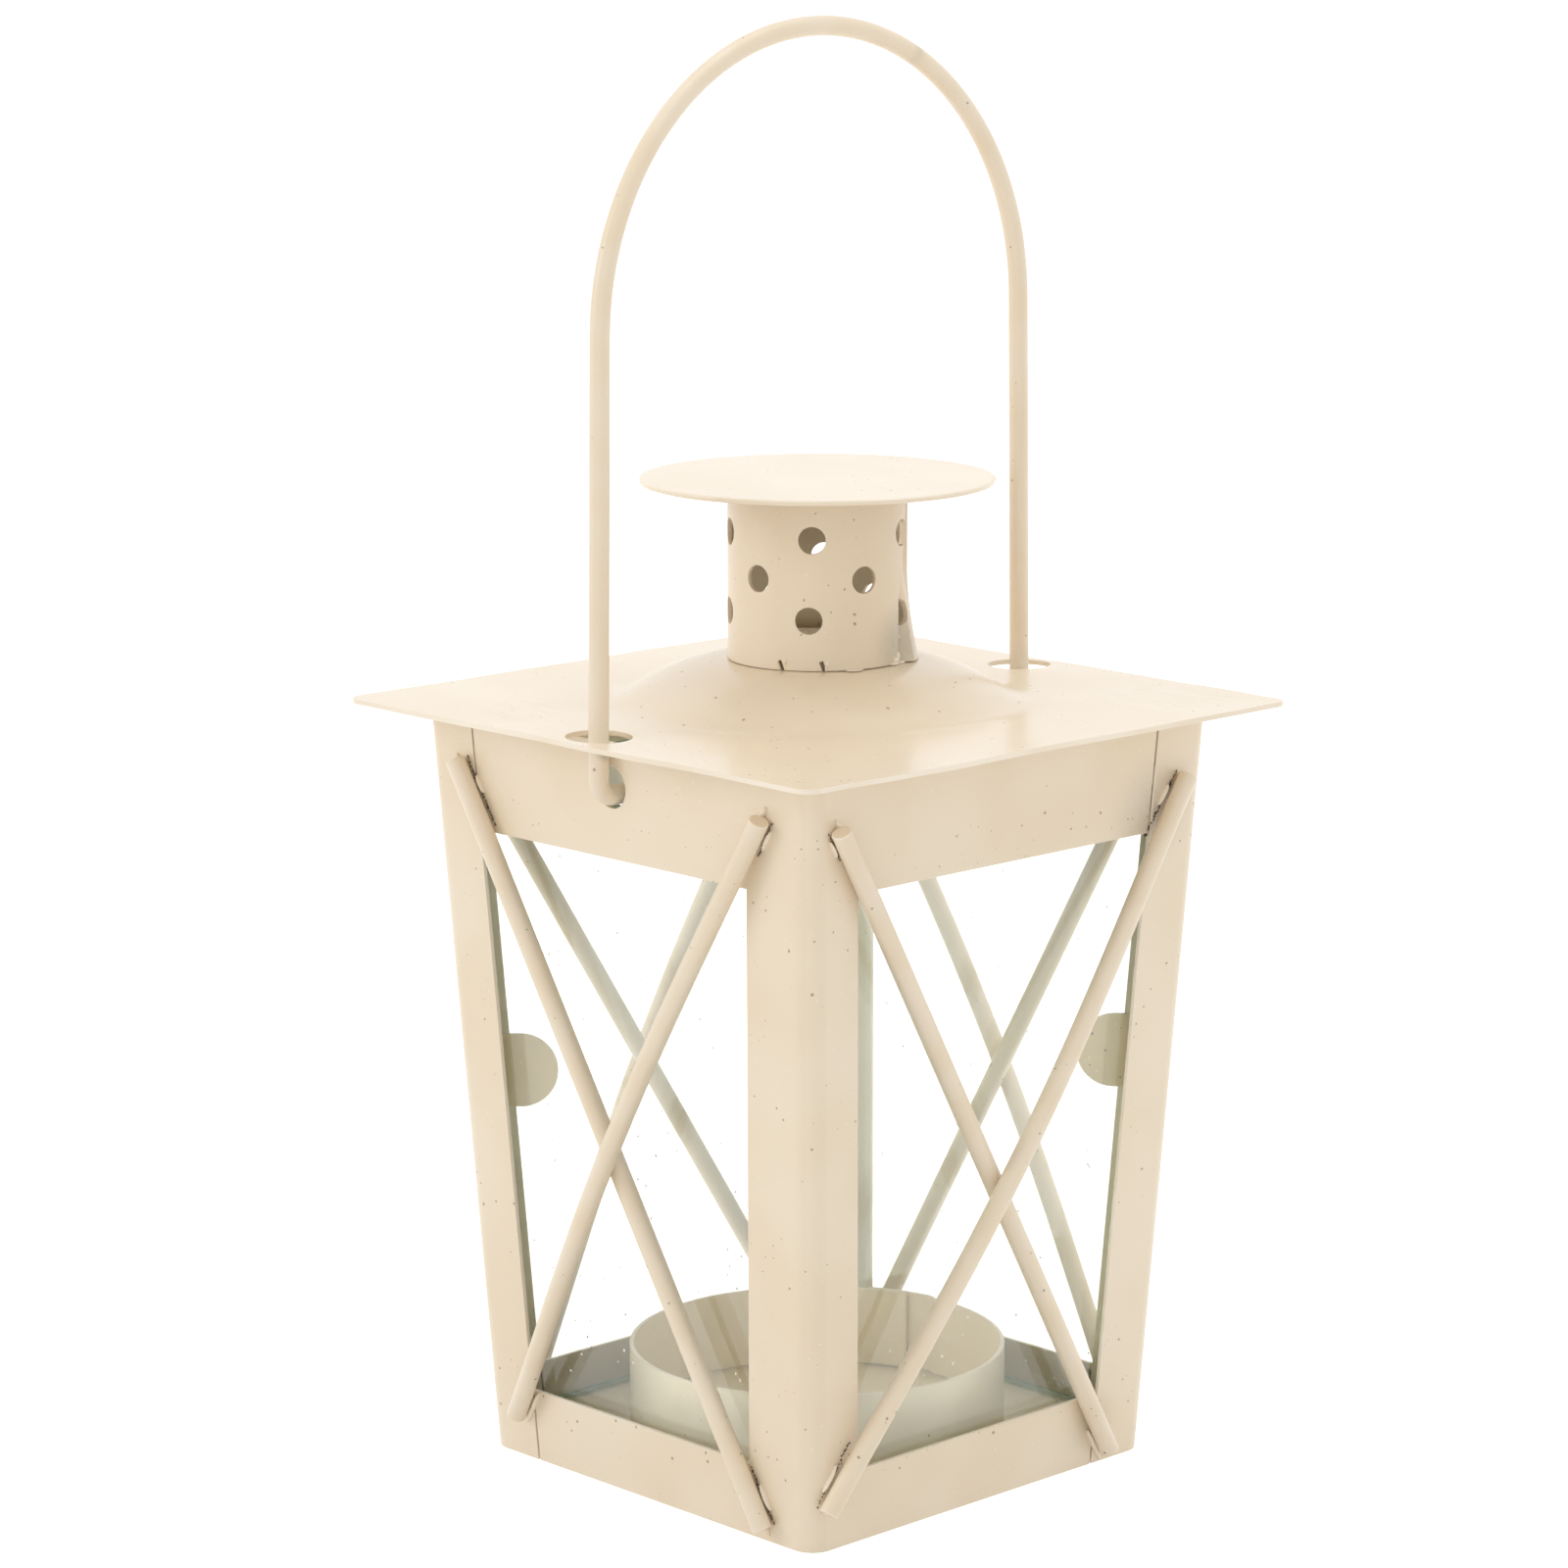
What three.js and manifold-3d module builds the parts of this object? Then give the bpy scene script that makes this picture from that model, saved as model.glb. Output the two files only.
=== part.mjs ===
import * as THREE from 'three';
import Module from 'manifold-3d';

// Miniature corner-post candle lantern for one 38 mm tealight. Millimetres, +Z up.
// It stands on z = 0 with its four faces square to X and Y. Faces are numbered by quarter turns
// about Z: 0 looks to -Y, 1 to +X, 2 to +Y, 3 to -X.

const wasm = await Module();
wasm.setup();

// sheet-steel body, wider at the top
const BODY_H = 85.5;
const HALF_BOTTOM = 26.3;
const HALF_TOP = 31.0;
const SHEET = 0.5;
const FOLD_R = 2.6;
const LEG = 8.8; // how far a corner post reaches along each face
const LEG_LEFT = 8.2; // both legs of the left corner post
const LEG_FRONT_Y = 9.7; // the front corner sheet's leg on the -Y side
const LEG_FRONT_X = 6.9; // and on the +X side
const HEADER_Z = 72.6; // underside of the header band
const BAND_Z = 8.3; // top of the bottom band
const SEAM = 0.3;
const GAP = 0.25; // between pieces that are welded or rest on each other

// bail and its pivots in the header bands
const WIRE_R = 1.1;
const PIVOT_Z = 79.7;
const PIVOT_HOLE_R = 2.35;
const PIVOT_HOLE_Z = 80.6;
const BAIL_Y = 32.4; // leg centre line beside the header
const BAIL_IN_Y = 27.6; // inner end of the hooked tips
const BEND_R = 2.0;
const ARCH_R = 31.7;
const ARCH_Z = 128.3;

// glass
const PANE_T = 2.0;
const PANE_GAP = 0.35;
const PANE_BOTTOM = 3.8;
const PANE_TOP = 78.0;
const PANE_EDGE = 3.6; // from the face line of the next side to the pane's edge

// corner lugs that stand between two panes each
const CLIP_T = 0.5;
const CLIP_W = 8.4;
const CLIP_TIP = 28.3; // from the middle to the round tip, along the diagonal
const CLIP_LEFT_Z = 44.1;
const CLIP_RIGHT_Z = 46.7;

// base and candle ring
const FLOOR_Z = 3.5;
const TRAY_LIP_Z = 0.4;
const RING_R = 20.5;
const RING_T = 0.5;
const RING_TOP = 12.8;

// roof, chimney and cap
const ROOF_HALF = 37.0;
const ROOF_R = 2.0;
const ROOF_T = 0.55;
const ROOF_TOP = 86.3;
const ROOF_HOLE_R = 3.6;
const ROOF_HOLE_Y = 32.3;
const DOME_R = 22.5;
const DOME_H = 4.7;
const FLUE_R = 8.6;
const CHIMNEY_R = 9.9;
const CHIMNEY_BOTTOM = 91.3;
const CHIMNEY_TOP = 110.25;
const VENT_R = 1.5;
const VENT_ROWS = [[105.4, -2.5], [100.9, -40], [96.6, -5.5]]; // height, first angle in degrees
const CAP_R = 19.6;
const CAP_T = 0.6;
const CAP_TOP = 111.1;

// crossed brace wires of each face: [across, up] of the upper and the lower end, seen from outside
const BRACE_UNDER = [
  [[-24.1, 80.7], [20.2, 1.9]], [[-27.6, 80.2], [19.0, 1.6]],
  [[-20.8, 80], [19.8, 2.4]], [[23.1, 80], [-23.3, 3.6]],
];
const BRACE_OVER = [
  [[24.5, 80.9], [-20.0, 5.2]], [[25.9, 78.9], [-25.4, 5.0]],
  [[28.4, 80], [-20.6, 3.6]], [[-27, 80], [19.8, 2.4]],
];

const PAINT = { color: 0xeddcc4, roughness: 0.5, metalness: 0 };
const cream = () => new THREE.MeshStandardMaterial(PAINT);
const clear = () => new THREE.MeshStandardMaterial({
  color: 0xdfeae0, roughness: 0.05, metalness: 0, transparent: true, opacity: 0.3,
});

const TAPER = (HALF_TOP - HALF_BOTTOM) / BODY_H;
const half = (z) => HALF_BOTTOM + TAPER * z;

// ---------------------------------------------------------------- helpers

function solid(geometry) {
  const flat = geometry.index ? geometry.toNonIndexed() : geometry;
  const pos = flat.attributes.position;
  const ids = new Map();
  const verts = [];
  const tris = [];
  for (let i = 0; i < pos.count; i += 3) {
    const t = [0, 1, 2].map((k) => {
      const p = [pos.getX(i + k), pos.getY(i + k), pos.getZ(i + k)];
      const key = p.map((v) => Math.round(v * 1e5)).join(',');
      if (!ids.has(key)) { ids.set(key, ids.size); verts.push(...p); }
      return ids.get(key);
    });
    if (t[0] !== t[1] && t[1] !== t[2] && t[2] !== t[0]) tris.push(...t);
  }
  return new wasm.Manifold(new wasm.Mesh({
    numProp: 3, vertProperties: new Float32Array(verts), triVerts: new Uint32Array(tris),
  }));
}

function geometryOf(body) {
  const m = body.getMesh();
  const xyz = new Float32Array((m.vertProperties.length / m.numProp) * 3);
  for (let i = 0; i * 3 < xyz.length; i++) {
    for (let k = 0; k < 3; k++) xyz[3 * i + k] = m.vertProperties[m.numProp * i + k];
  }
  const g = new THREE.BufferGeometry();
  g.setAttribute('position', new THREE.BufferAttribute(xyz, 3));
  g.setIndex(Array.from(m.triVerts));
  const out = g.toNonIndexed();
  out.computeVertexNormals();
  return out;
}

function mesh(name, geometry, material) {
  const m = new THREE.Mesh(geometry, material);
  m.name = name;
  return m;
}

// closed skin between two rings of points with the same count, listed anticlockwise from above
function skin(lower, upper) {
  const n = lower.length;
  const verts = [...lower, ...upper].flat();
  const idx = [];
  for (let i = 0; i < n; i++) {
    const j = (i + 1) % n;
    idx.push(i, j, n + j, i, n + j, n + i);
    if (i > 0 && i < n - 1) idx.push(0, i + 1, i, n, n + i, n + i + 1);
  }
  const g = new THREE.BufferGeometry();
  g.setAttribute('position', new THREE.Float32BufferAttribute(verts, 3));
  g.setIndex(idx);
  return g;
}

function roundedSquare(h, r, z, steps = 6) {
  const pts = [];
  for (let q = 0; q < 4; q++) {
    const cx = (q === 0 || q === 3 ? 1 : -1) * (h - r);
    const cy = (q < 2 ? 1 : -1) * (h - r);
    for (let s = 0; s <= steps; s++) {
      const a = (q + s / steps) * Math.PI / 2;
      pts.push([cx + r * Math.cos(a), cy + r * Math.sin(a), z]);
    }
  }
  return pts;
}

// tapered block that follows the body's faces, inset by a constant distance
function taperedBlock(inset, r, z0, z1) {
  return solid(skin(roundedSquare(half(z0) - inset, r, z0), roundedSquare(half(z1) - inset, r, z1)));
}

// tapered four-sided block given by its two x and two y limits as functions of height
function wedge(x0, x1, y0, y1, z0, z1) {
  const ring = (z) => [[x0(z), y0(z), z], [x1(z), y0(z), z], [x1(z), y1(z), z], [x0(z), y1(z), z]];
  return solid(skin(ring(z0), ring(z1)));
}

function cylinder(r, length, sides = 28) {
  return new THREE.CylinderGeometry(r, r, length, sides);
}

// places geometry drawn as (across, up, outward) on a face of the tapered body
function faceMatrix(face) {
  const n = new THREE.Vector3(0, -1, -TAPER).normalize();
  const m = new THREE.Matrix4().makeBasis(
    new THREE.Vector3(1, 0, 0), new THREE.Vector3(0, -TAPER, 1), n,
  );
  m.setPosition(0, -HALF_BOTTOM, 0);
  return new THREE.Matrix4().makeRotationZ(face * Math.PI / 2).multiply(m);
}

function roundSection(r, sides) {
  const s = new THREE.Shape();
  for (let i = 0; i < sides; i++) {
    const a = (i / sides) * 2 * Math.PI;
    if (i) s.lineTo(r * Math.cos(a), r * Math.sin(a)); else s.moveTo(r, 0);
  }
  s.closePath();
  return s;
}

// ---------------------------------------------------------------- folded steel body

// The sheet skin with its four windows and the two bail holes, before it is parted at the seams.
function bodySkin() {
  let skinBody = taperedBlock(0, FOLD_R, 0, BODY_H)
    .subtract(taperedBlock(SHEET, FOLD_R - SHEET, -2, BODY_H + 2));
  const lo = (leg) => (z) => -(half(z) - leg);
  const hi = (leg) => (z) => half(z) - leg;
  const far = () => 50;
  const near = () => -50;
  const mid = () => 0;
  skinBody = skinBody
    .subtract(wedge(lo(LEG_LEFT), hi(LEG_FRONT_Y), near, mid, BAND_Z, HEADER_Z))
    .subtract(wedge(lo(LEG), hi(LEG), mid, far, BAND_Z, HEADER_Z))
    .subtract(wedge(near, mid, lo(LEG_LEFT), hi(LEG), BAND_Z, HEADER_Z))
    .subtract(wedge(mid, far, lo(LEG_FRONT_X), hi(LEG), BAND_Z, HEADER_Z));
  const bore = cylinder(PIVOT_HOLE_R, 100).translate(0, 0, 0);
  bore.translate(0, 0, PIVOT_HOLE_Z);
  return skinBody.subtract(solid(bore));
}

// Square column round the corner on the side of (sx, sy), its inner sides `grow` past the post's edge.
function cornerColumn(sx, sy, leg, grow) {
  const inner = (z) => half(z) - leg - grow;
  const far = () => 50;
  const lim = (s) => (s > 0 ? [inner, far] : [() => -50, (z) => -inner(z)]);
  const [x0, x1] = lim(sx);
  const [y0, y1] = lim(sy);
  return wedge(x0, x1, y0, y1, -3, BODY_H + 3);
}

// Two opposite corners are plain angle posts; the other two carry the header and bottom bands.
function foldedBody() {
  const whole = bodySkin();
  const left = whole.intersect(cornerColumn(-1, -1, LEG_LEFT, 0));
  const right = whole.intersect(cornerColumn(1, 1, LEG, 0));
  const rest = whole.subtract(cornerColumn(-1, -1, LEG_LEFT, SEAM)).subtract(cornerColumn(1, 1, LEG, SEAM));
  const halfPrism = (s) => solid(skin(
    [[-60, -60, -5], s > 0 ? [60, -60, -5] : [60, 60, -5], s > 0 ? [60, 60, -5] : [-60, 60, -5]],
    [[-60, -60, 95], s > 0 ? [60, -60, 95] : [60, 60, 95], s > 0 ? [60, 60, 95] : [-60, 60, 95]],
  ));
  return [
    mesh('front_corner_sheet', geometryOf(rest.intersect(halfPrism(1))), cream()),
    mesh('back_corner_sheet', geometryOf(rest.intersect(halfPrism(-1))), cream()),
    mesh('left_corner_post', geometryOf(left), cream()),
    mesh('right_corner_post', geometryOf(right), cream()),
  ];
}

// ---------------------------------------------------------------- brace wires

// The under wire lies flat on the posts.
function underBrace(face) {
  const [[a0, z0], [a1, z1]] = BRACE_UNDER[face];
  const d = WIRE_R + GAP;
  const path = new THREE.LineCurve3(new THREE.Vector3(a0, z0, d), new THREE.Vector3(a1, z1, d));
  const g = new THREE.ExtrudeGeometry(roundSection(WIRE_R, 16), { steps: 1, extrudePath: path });
  return mesh(`brace_under_${face}`, g.applyMatrix4(faceMatrix(face)), cream());
}

// The over wire bows out over the under wire and comes back to the posts.
class Bow extends THREE.Curve {
  constructor(from, to, low, high) {
    super();
    Object.assign(this, { from, to, low, high });
  }

  getPoint(t, target = new THREE.Vector3()) {
    const lift = Math.sin(Math.PI * t) ** 1.2;
    return target.set(
      THREE.MathUtils.lerp(this.from[0], this.to[0], t),
      THREE.MathUtils.lerp(this.from[1], this.to[1], t),
      this.low + (this.high - this.low) * lift,
    );
  }
}

function overBrace(face) {
  const low = WIRE_R + GAP;
  const path = new Bow(...BRACE_OVER[face], low, low + 2 * WIRE_R + GAP);
  const g = new THREE.ExtrudeGeometry(roundSection(WIRE_R, 16), { steps: 14, extrudePath: path });
  return mesh(`brace_over_${face}`, g.applyMatrix4(faceMatrix(face)), cream());
}

// ---------------------------------------------------------------- glass and its clips

function pane(face) {
  const s = new THREE.Shape([
    new THREE.Vector2(-(half(PANE_BOTTOM) - PANE_EDGE), PANE_BOTTOM),
    new THREE.Vector2(half(PANE_BOTTOM) - PANE_EDGE, PANE_BOTTOM),
    new THREE.Vector2(half(PANE_TOP) - PANE_EDGE, PANE_TOP),
    new THREE.Vector2(-(half(PANE_TOP) - PANE_EDGE), PANE_TOP),
  ]);
  const g = new THREE.ExtrudeGeometry(s, { depth: PANE_T, bevelEnabled: false });
  g.translate(0, 0, -(SHEET + PANE_GAP + PANE_T));
  return mesh(`glass_pane_${face}`, g.applyMatrix4(faceMatrix(face)), clear());
}

// A flat lug with a round tip, standing on the diagonal between two panes' edges; it is spot-welded in the fold.
function clip(name, up, angle) {
  const root = (half(up) - FOLD_R) * Math.SQRT2 + FOLD_R - SHEET - GAP - 0.3;
  const tip = CLIP_TIP + CLIP_W / 2;
  const s = new THREE.Shape();
  s.moveTo(root, up - CLIP_W / 2);
  s.lineTo(root, up + CLIP_W / 2);
  s.lineTo(tip, up + CLIP_W / 2);
  for (let i = 1; i < 12; i++) {
    const a = Math.PI / 2 + (i / 12) * Math.PI;
    s.lineTo(tip + Math.cos(a) * CLIP_W / 2, up + Math.sin(a) * CLIP_W / 2);
  }
  s.lineTo(tip, up - CLIP_W / 2);
  s.closePath();
  const g = new THREE.ExtrudeGeometry(s, { depth: CLIP_T, bevelEnabled: false });
  g.translate(0, 0, -CLIP_T / 2);
  g.rotateX(Math.PI / 2);
  g.rotateZ(angle);
  return mesh(name, g, cream());
}

// ---------------------------------------------------------------- base and candle ring

// Shallow floor tray with turned-down edges, held inside the bottom bands.
function baseTray() {
  const inset = SHEET + GAP;
  const tray = taperedBlock(inset, FOLD_R - inset, TRAY_LIP_Z, FLOOR_Z)
    .subtract(taperedBlock(inset + SHEET, FOLD_R - inset - SHEET, -2, FLOOR_Z - SHEET));
  return mesh('base_tray', geometryOf(tray), cream());
}

function candleRing() {
  const z0 = FLOOR_Z + GAP;
  const p = [
    [RING_R - RING_T, z0], [RING_R, z0], [RING_R, RING_TOP], [RING_R - RING_T, RING_TOP],
    [RING_R - RING_T, z0],
  ].map(([r, z]) => new THREE.Vector2(r, z));
  return mesh('candle_ring', new THREE.LatheGeometry(p, 56).rotateX(Math.PI / 2), cream());
}

// ---------------------------------------------------------------- roof, chimney and cap

function domeHeight(r) {
  const s = THREE.MathUtils.clamp((r - CHIMNEY_R - 0.8) / (DOME_R - CHIMNEY_R - 0.8), 0, 1);
  return DOME_H * (1 - s ** 1.7);
}

// Directions round the roof: even steps, with the rounded corners' ends and middles added.
function roofAngles() {
  const arc = Math.atan2(ROOF_HALF - ROOF_R, ROOF_HALF);
  const mid = (arc + Math.PI / 4) / 2;
  const quarter = [0, 1, 2, 3, 4, 5].map((i) => i * Math.PI / 24);
  quarter.push(arc, mid, Math.PI / 4, Math.PI / 2 - mid, Math.PI / 2 - arc);
  for (let i = 7; i < 12; i++) quarter.push(i * Math.PI / 24);
  return [0, 1, 2, 3].flatMap((q) => quarter.map((a) => a + q * Math.PI / 2));
}

// How far the roof's edge is from the middle in a direction.
function roofReach(angle) {
  const [c, s] = [Math.abs(Math.cos(angle)), Math.abs(Math.sin(angle))];
  const flat = ROOF_HALF / Math.max(c, s);
  if (flat * Math.min(c, s) <= ROOF_HALF - ROOF_R + 1e-6) return flat;
  const along = (ROOF_HALF - ROOF_R) * (c + s);
  const off2 = 2 * (ROOF_HALF - ROOF_R) ** 2 - along ** 2;
  return along + Math.sqrt(ROOF_R ** 2 - off2);
}

// Square lid stamped with a low dome, open in the middle for the flue and bored for the bail's legs.
function roofPlate() {
  const angles = roofAngles();
  const n = angles.length;
  const radii = [FLUE_R, 10.7, 13, 15, 17, 19, 21, DOME_R];
  const ring = (reach, z) => angles.map((a) => [reach(a) * Math.cos(a), reach(a) * Math.sin(a), z]);
  const rings = [
    ...radii.map((r) => ring(() => r, ROOF_TOP + domeHeight(r))),
    ring(roofReach, ROOF_TOP),
    ring(roofReach, ROOF_TOP - ROOF_T),
    ...radii.map((r) => ring(() => r, ROOF_TOP - ROOF_T + domeHeight(r))).reverse(),
  ];
  const idx = [];
  rings.forEach((_, k) => {
    const next = (k + 1) % rings.length;
    for (let i = 0; i < n; i++) {
      const j = (i + 1) % n;
      idx.push(k * n + i, next * n + i, next * n + j, k * n + i, next * n + j, k * n + j);
    }
  });
  const g = new THREE.BufferGeometry();
  g.setAttribute('position', new THREE.Float32BufferAttribute(rings.flat(2), 3));
  g.setIndex(idx);
  let roof = solid(g);
  for (const s of [-1, 1]) {
    const hole = cylinder(ROOF_HOLE_R, 6, 36).rotateX(Math.PI / 2);
    roof = roof.subtract(solid(hole.translate(0, s * ROOF_HOLE_Y, ROOF_TOP)));
  }
  return mesh('roof_plate', geometryOf(roof), cream());
}

// Rolled tube with three rows of five vent holes and two short slits in its foot.
function chimneyTube() {
  const p = [
    [CHIMNEY_R - SHEET, CHIMNEY_BOTTOM], [CHIMNEY_R, CHIMNEY_BOTTOM], [CHIMNEY_R, CHIMNEY_TOP],
    [CHIMNEY_R - SHEET, CHIMNEY_TOP], [CHIMNEY_R - SHEET, CHIMNEY_BOTTOM],
  ].map(([r, z]) => new THREE.Vector2(r, z));
  let tube = solid(new THREE.LatheGeometry(p, 56).rotateX(Math.PI / 2));
  const radial = (g, deg, z) => solid(g.translate(CHIMNEY_R, 0, z).rotateZ(deg * Math.PI / 180));
  for (const [z, first] of VENT_ROWS) {
    for (let i = 0; i < 5; i++) {
      const hole = cylinder(VENT_R, 4, 18).rotateZ(Math.PI / 2);
      tube = tube.subtract(radial(hole, -45 + first + 72 * i, z));
    }
  }
  for (const deg of [-72, -44]) {
    tube = tube.subtract(radial(new THREE.BoxGeometry(4, 0.6, 2.4), deg, CHIMNEY_BOTTOM));
  }
  return mesh('chimney_tube', geometryOf(tube), cream());
}

function capDisc() {
  const g = cylinder(CAP_R, CAP_T, 56).rotateX(Math.PI / 2).translate(0, 0, CAP_TOP - CAP_T / 2);
  return mesh('cap_disc', g, cream());
}

// ---------------------------------------------------------------- bail handle

// Centre line in the plane x = 0 as [y, z]: hooked tip, bend, leg, half-circle arch and back down.
function bailLine() {
  const lean = Math.atan2(BAIL_Y - ARCH_R, ARCH_Z - PIVOT_Z);
  const line = [[BAIL_IN_Y, PIVOT_Z]];
  for (let i = 0; i <= 6; i++) {
    const a = -Math.PI / 2 + (i / 6) * (Math.PI / 2 + lean);
    line.push([BAIL_Y - BEND_R + BEND_R * Math.cos(a), PIVOT_Z + BEND_R + BEND_R * Math.sin(a)]);
  }
  for (let i = 0; i <= 20; i++) {
    const a = lean + (i / 20) * (Math.PI / 2 - lean);
    line.push([ARCH_R * Math.cos(a), ARCH_Z + ARCH_R * Math.sin(a)]);
  }
  return [...line, ...line.slice(0, -1).map(([y, z]) => [-y, z]).reverse()];
}

function bailHandle() {
  const line = bailLine();
  const sides = 16;
  const verts = [];
  const idx = [];
  line.forEach(([y, z], k) => {
    const a = line[Math.max(k - 1, 0)];
    const b = line[Math.min(k + 1, line.length - 1)];
    const len = Math.hypot(b[0] - a[0], b[1] - a[1]);
    const [ny, nz] = [(b[1] - a[1]) / len, -(b[0] - a[0]) / len];
    for (let i = 0; i < sides; i++) {
      const t = (i / sides) * 2 * Math.PI;
      verts.push(WIRE_R * Math.sin(t), y + WIRE_R * Math.cos(t) * ny, z + WIRE_R * Math.cos(t) * nz);
    }
  });
  const last = (line.length - 1) * sides;
  for (let k = 0; k < line.length - 1; k++) {
    for (let i = 0; i < sides; i++) {
      const [p, q] = [k * sides + i, k * sides + ((i + 1) % sides)];
      idx.push(p, q + sides, q, p, p + sides, q + sides);
    }
  }
  for (let i = 1; i < sides - 1; i++) idx.push(0, i, i + 1, last, last + i + 1, last + i);
  const g = new THREE.BufferGeometry();
  g.setAttribute('position', new THREE.Float32BufferAttribute(verts, 3));
  g.setIndex(idx);
  return mesh('bail_handle', geometryOf(solid(g)), cream());
}

// ---------------------------------------------------------------- assembly

const lantern = new THREE.Group();
lantern.name = 'candle_lantern';
lantern.add(...foldedBody());
for (let face = 0; face < 4; face++) {
  lantern.add(underBrace(face), overBrace(face), pane(face));
}
lantern.add(
  clip('glass_clip_left', CLIP_LEFT_Z, -0.75 * Math.PI),
  clip('glass_clip_right', CLIP_RIGHT_Z, 0.25 * Math.PI),
  baseTray(), candleRing(),
  roofPlate(), chimneyTube(), capDisc(),
  bailHandle(),
);

export default lantern;
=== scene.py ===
import math
import random

import bmesh
import bpy
from mathutils import Matrix, Vector


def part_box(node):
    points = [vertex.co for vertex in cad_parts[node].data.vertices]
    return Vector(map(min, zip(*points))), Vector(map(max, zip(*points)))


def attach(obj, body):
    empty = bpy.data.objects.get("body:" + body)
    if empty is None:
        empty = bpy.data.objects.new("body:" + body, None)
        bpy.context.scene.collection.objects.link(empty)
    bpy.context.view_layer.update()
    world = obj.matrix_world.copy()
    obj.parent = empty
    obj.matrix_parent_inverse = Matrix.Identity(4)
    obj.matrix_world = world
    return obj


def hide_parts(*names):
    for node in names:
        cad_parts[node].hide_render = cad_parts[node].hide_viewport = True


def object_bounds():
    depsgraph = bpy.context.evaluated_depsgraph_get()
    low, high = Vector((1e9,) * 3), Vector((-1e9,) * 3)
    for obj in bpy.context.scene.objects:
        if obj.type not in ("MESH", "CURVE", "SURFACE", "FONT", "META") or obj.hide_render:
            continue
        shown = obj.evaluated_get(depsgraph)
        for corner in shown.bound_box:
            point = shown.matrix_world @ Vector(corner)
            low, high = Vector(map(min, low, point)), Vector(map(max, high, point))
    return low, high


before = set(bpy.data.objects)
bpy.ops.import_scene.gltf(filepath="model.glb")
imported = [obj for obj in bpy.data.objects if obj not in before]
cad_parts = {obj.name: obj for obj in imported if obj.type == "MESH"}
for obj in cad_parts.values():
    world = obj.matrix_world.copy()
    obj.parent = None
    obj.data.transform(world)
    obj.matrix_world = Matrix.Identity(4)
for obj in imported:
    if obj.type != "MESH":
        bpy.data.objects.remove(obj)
cad_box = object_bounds()

mm = 0.001


# ---------------------------------------------------------------------------
# Body sheets. Half-millimetre steel, folded round the corners and butted
# together: two corner sheets carry the header and bottom bands, two plain
# angle posts close the other corners. All are sprayed with one cream coat.
# ---------------------------------------------------------------------------
sheet_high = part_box("front_corner_sheet")[1]
body_height = sheet_high.z
wall_top = sheet_high.x
wall_foot = 26.3 * mm
wall_lean = (wall_top - wall_foot) / body_height
sheet_thick = 0.5 * mm
fold_radius = 2.6 * mm
post_leg = 8.8 * mm
left_leg = 8.2 * mm
front_leg_y = 9.7 * mm
front_leg_x = 6.9 * mm
header_foot = 72.6 * mm
band_top = 8.3 * mm
seam_gap = 0.3 * mm
edge_softness = 0.09 * mm
pivot_hole_radius = 2.35 * mm
pivot_hole_height = 80.6 * mm


def half_width(z):
    """From the middle to the outer face of a side, at a height."""
    return wall_foot + wall_lean * z


def take(piece):
    """Object mode, with this piece alone selected and active."""
    active = bpy.context.view_layer.objects.active
    if active is not None and active.mode != "OBJECT":
        bpy.ops.object.mode_set(mode="OBJECT")
    bpy.ops.object.select_all(action="DESELECT")
    if piece is not None:
        piece.select_set(True)
        bpy.context.view_layer.objects.active = piece
    return piece


def newly_made(name):
    """The primitive just added, with its place, turn and size put into its mesh."""
    piece = bpy.context.object
    bpy.ops.object.transform_apply(location=True, rotation=True, scale=True)
    piece.name = piece.data.name = name
    return piece


def edit(piece):
    take(piece)
    bpy.ops.object.mode_set(mode="EDIT")
    bpy.ops.mesh.select_all(action="DESELECT")


def pick(piece, kind, wanted):
    """In edit mode, selects the vertices, edges or faces that pass a test."""
    bpy.ops.mesh.select_mode(type=kind)
    bpy.ops.mesh.select_all(action="DESELECT")
    shape = bmesh.from_edit_mesh(piece.data)
    shape.normal_update()
    for part in {"VERT": shape.verts, "EDGE": shape.edges, "FACE": shape.faces}[kind]:
        if wanted(part):
            part.select_set(True)
    shape.select_flush_mode()
    bmesh.update_edit_mesh(piece.data)


def middle(part):
    return sum((v.co for v in part.verts), Vector()) / len(part.verts)


def finish_edit(piece):
    """Merges doubles, turns the faces outward and leaves edit mode."""
    bpy.ops.mesh.select_mode(type="VERT")
    bpy.ops.mesh.select_all(action="SELECT")
    bpy.ops.mesh.remove_doubles(threshold=0.002 * mm)
    bpy.ops.mesh.normals_make_consistent(inside=False)
    bpy.ops.object.mode_set(mode="OBJECT")
    return piece


def apply_modifier(piece, kind, **settings):
    take(piece)
    modifier = piece.modifiers.new(kind, kind)
    for key, value in settings.items():
        setattr(modifier, key, value)
    bpy.ops.object.modifier_apply(modifier=modifier.name)


def cut(piece, tool):
    """Takes the tool's volume out of the piece, and the tool away."""
    apply_modifier(piece, "BOOLEAN", object=tool, operation="DIFFERENCE", solver="EXACT")
    bpy.data.objects.remove(tool)


def soften(piece, width, segments=2, angle=35, slot=-1):
    """Rounds the sharp edges; slot is the material of the rounding."""
    apply_modifier(
        piece, "BEVEL", width=width, segments=segments, limit_method="ANGLE",
        angle_limit=math.radians(angle), use_clamp_overlap=True, material=slot,
    )
    bpy.ops.object.shade_smooth_by_angle(angle=math.radians(50))
    apply_modifier(piece, "WEIGHTED_NORMAL", keep_sharp=True)


def copy_of(piece, name):
    twin = piece.copy()
    twin.data = piece.data.copy()
    twin.name = twin.data.name = name
    bpy.context.scene.collection.objects.link(twin)
    return twin


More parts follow.
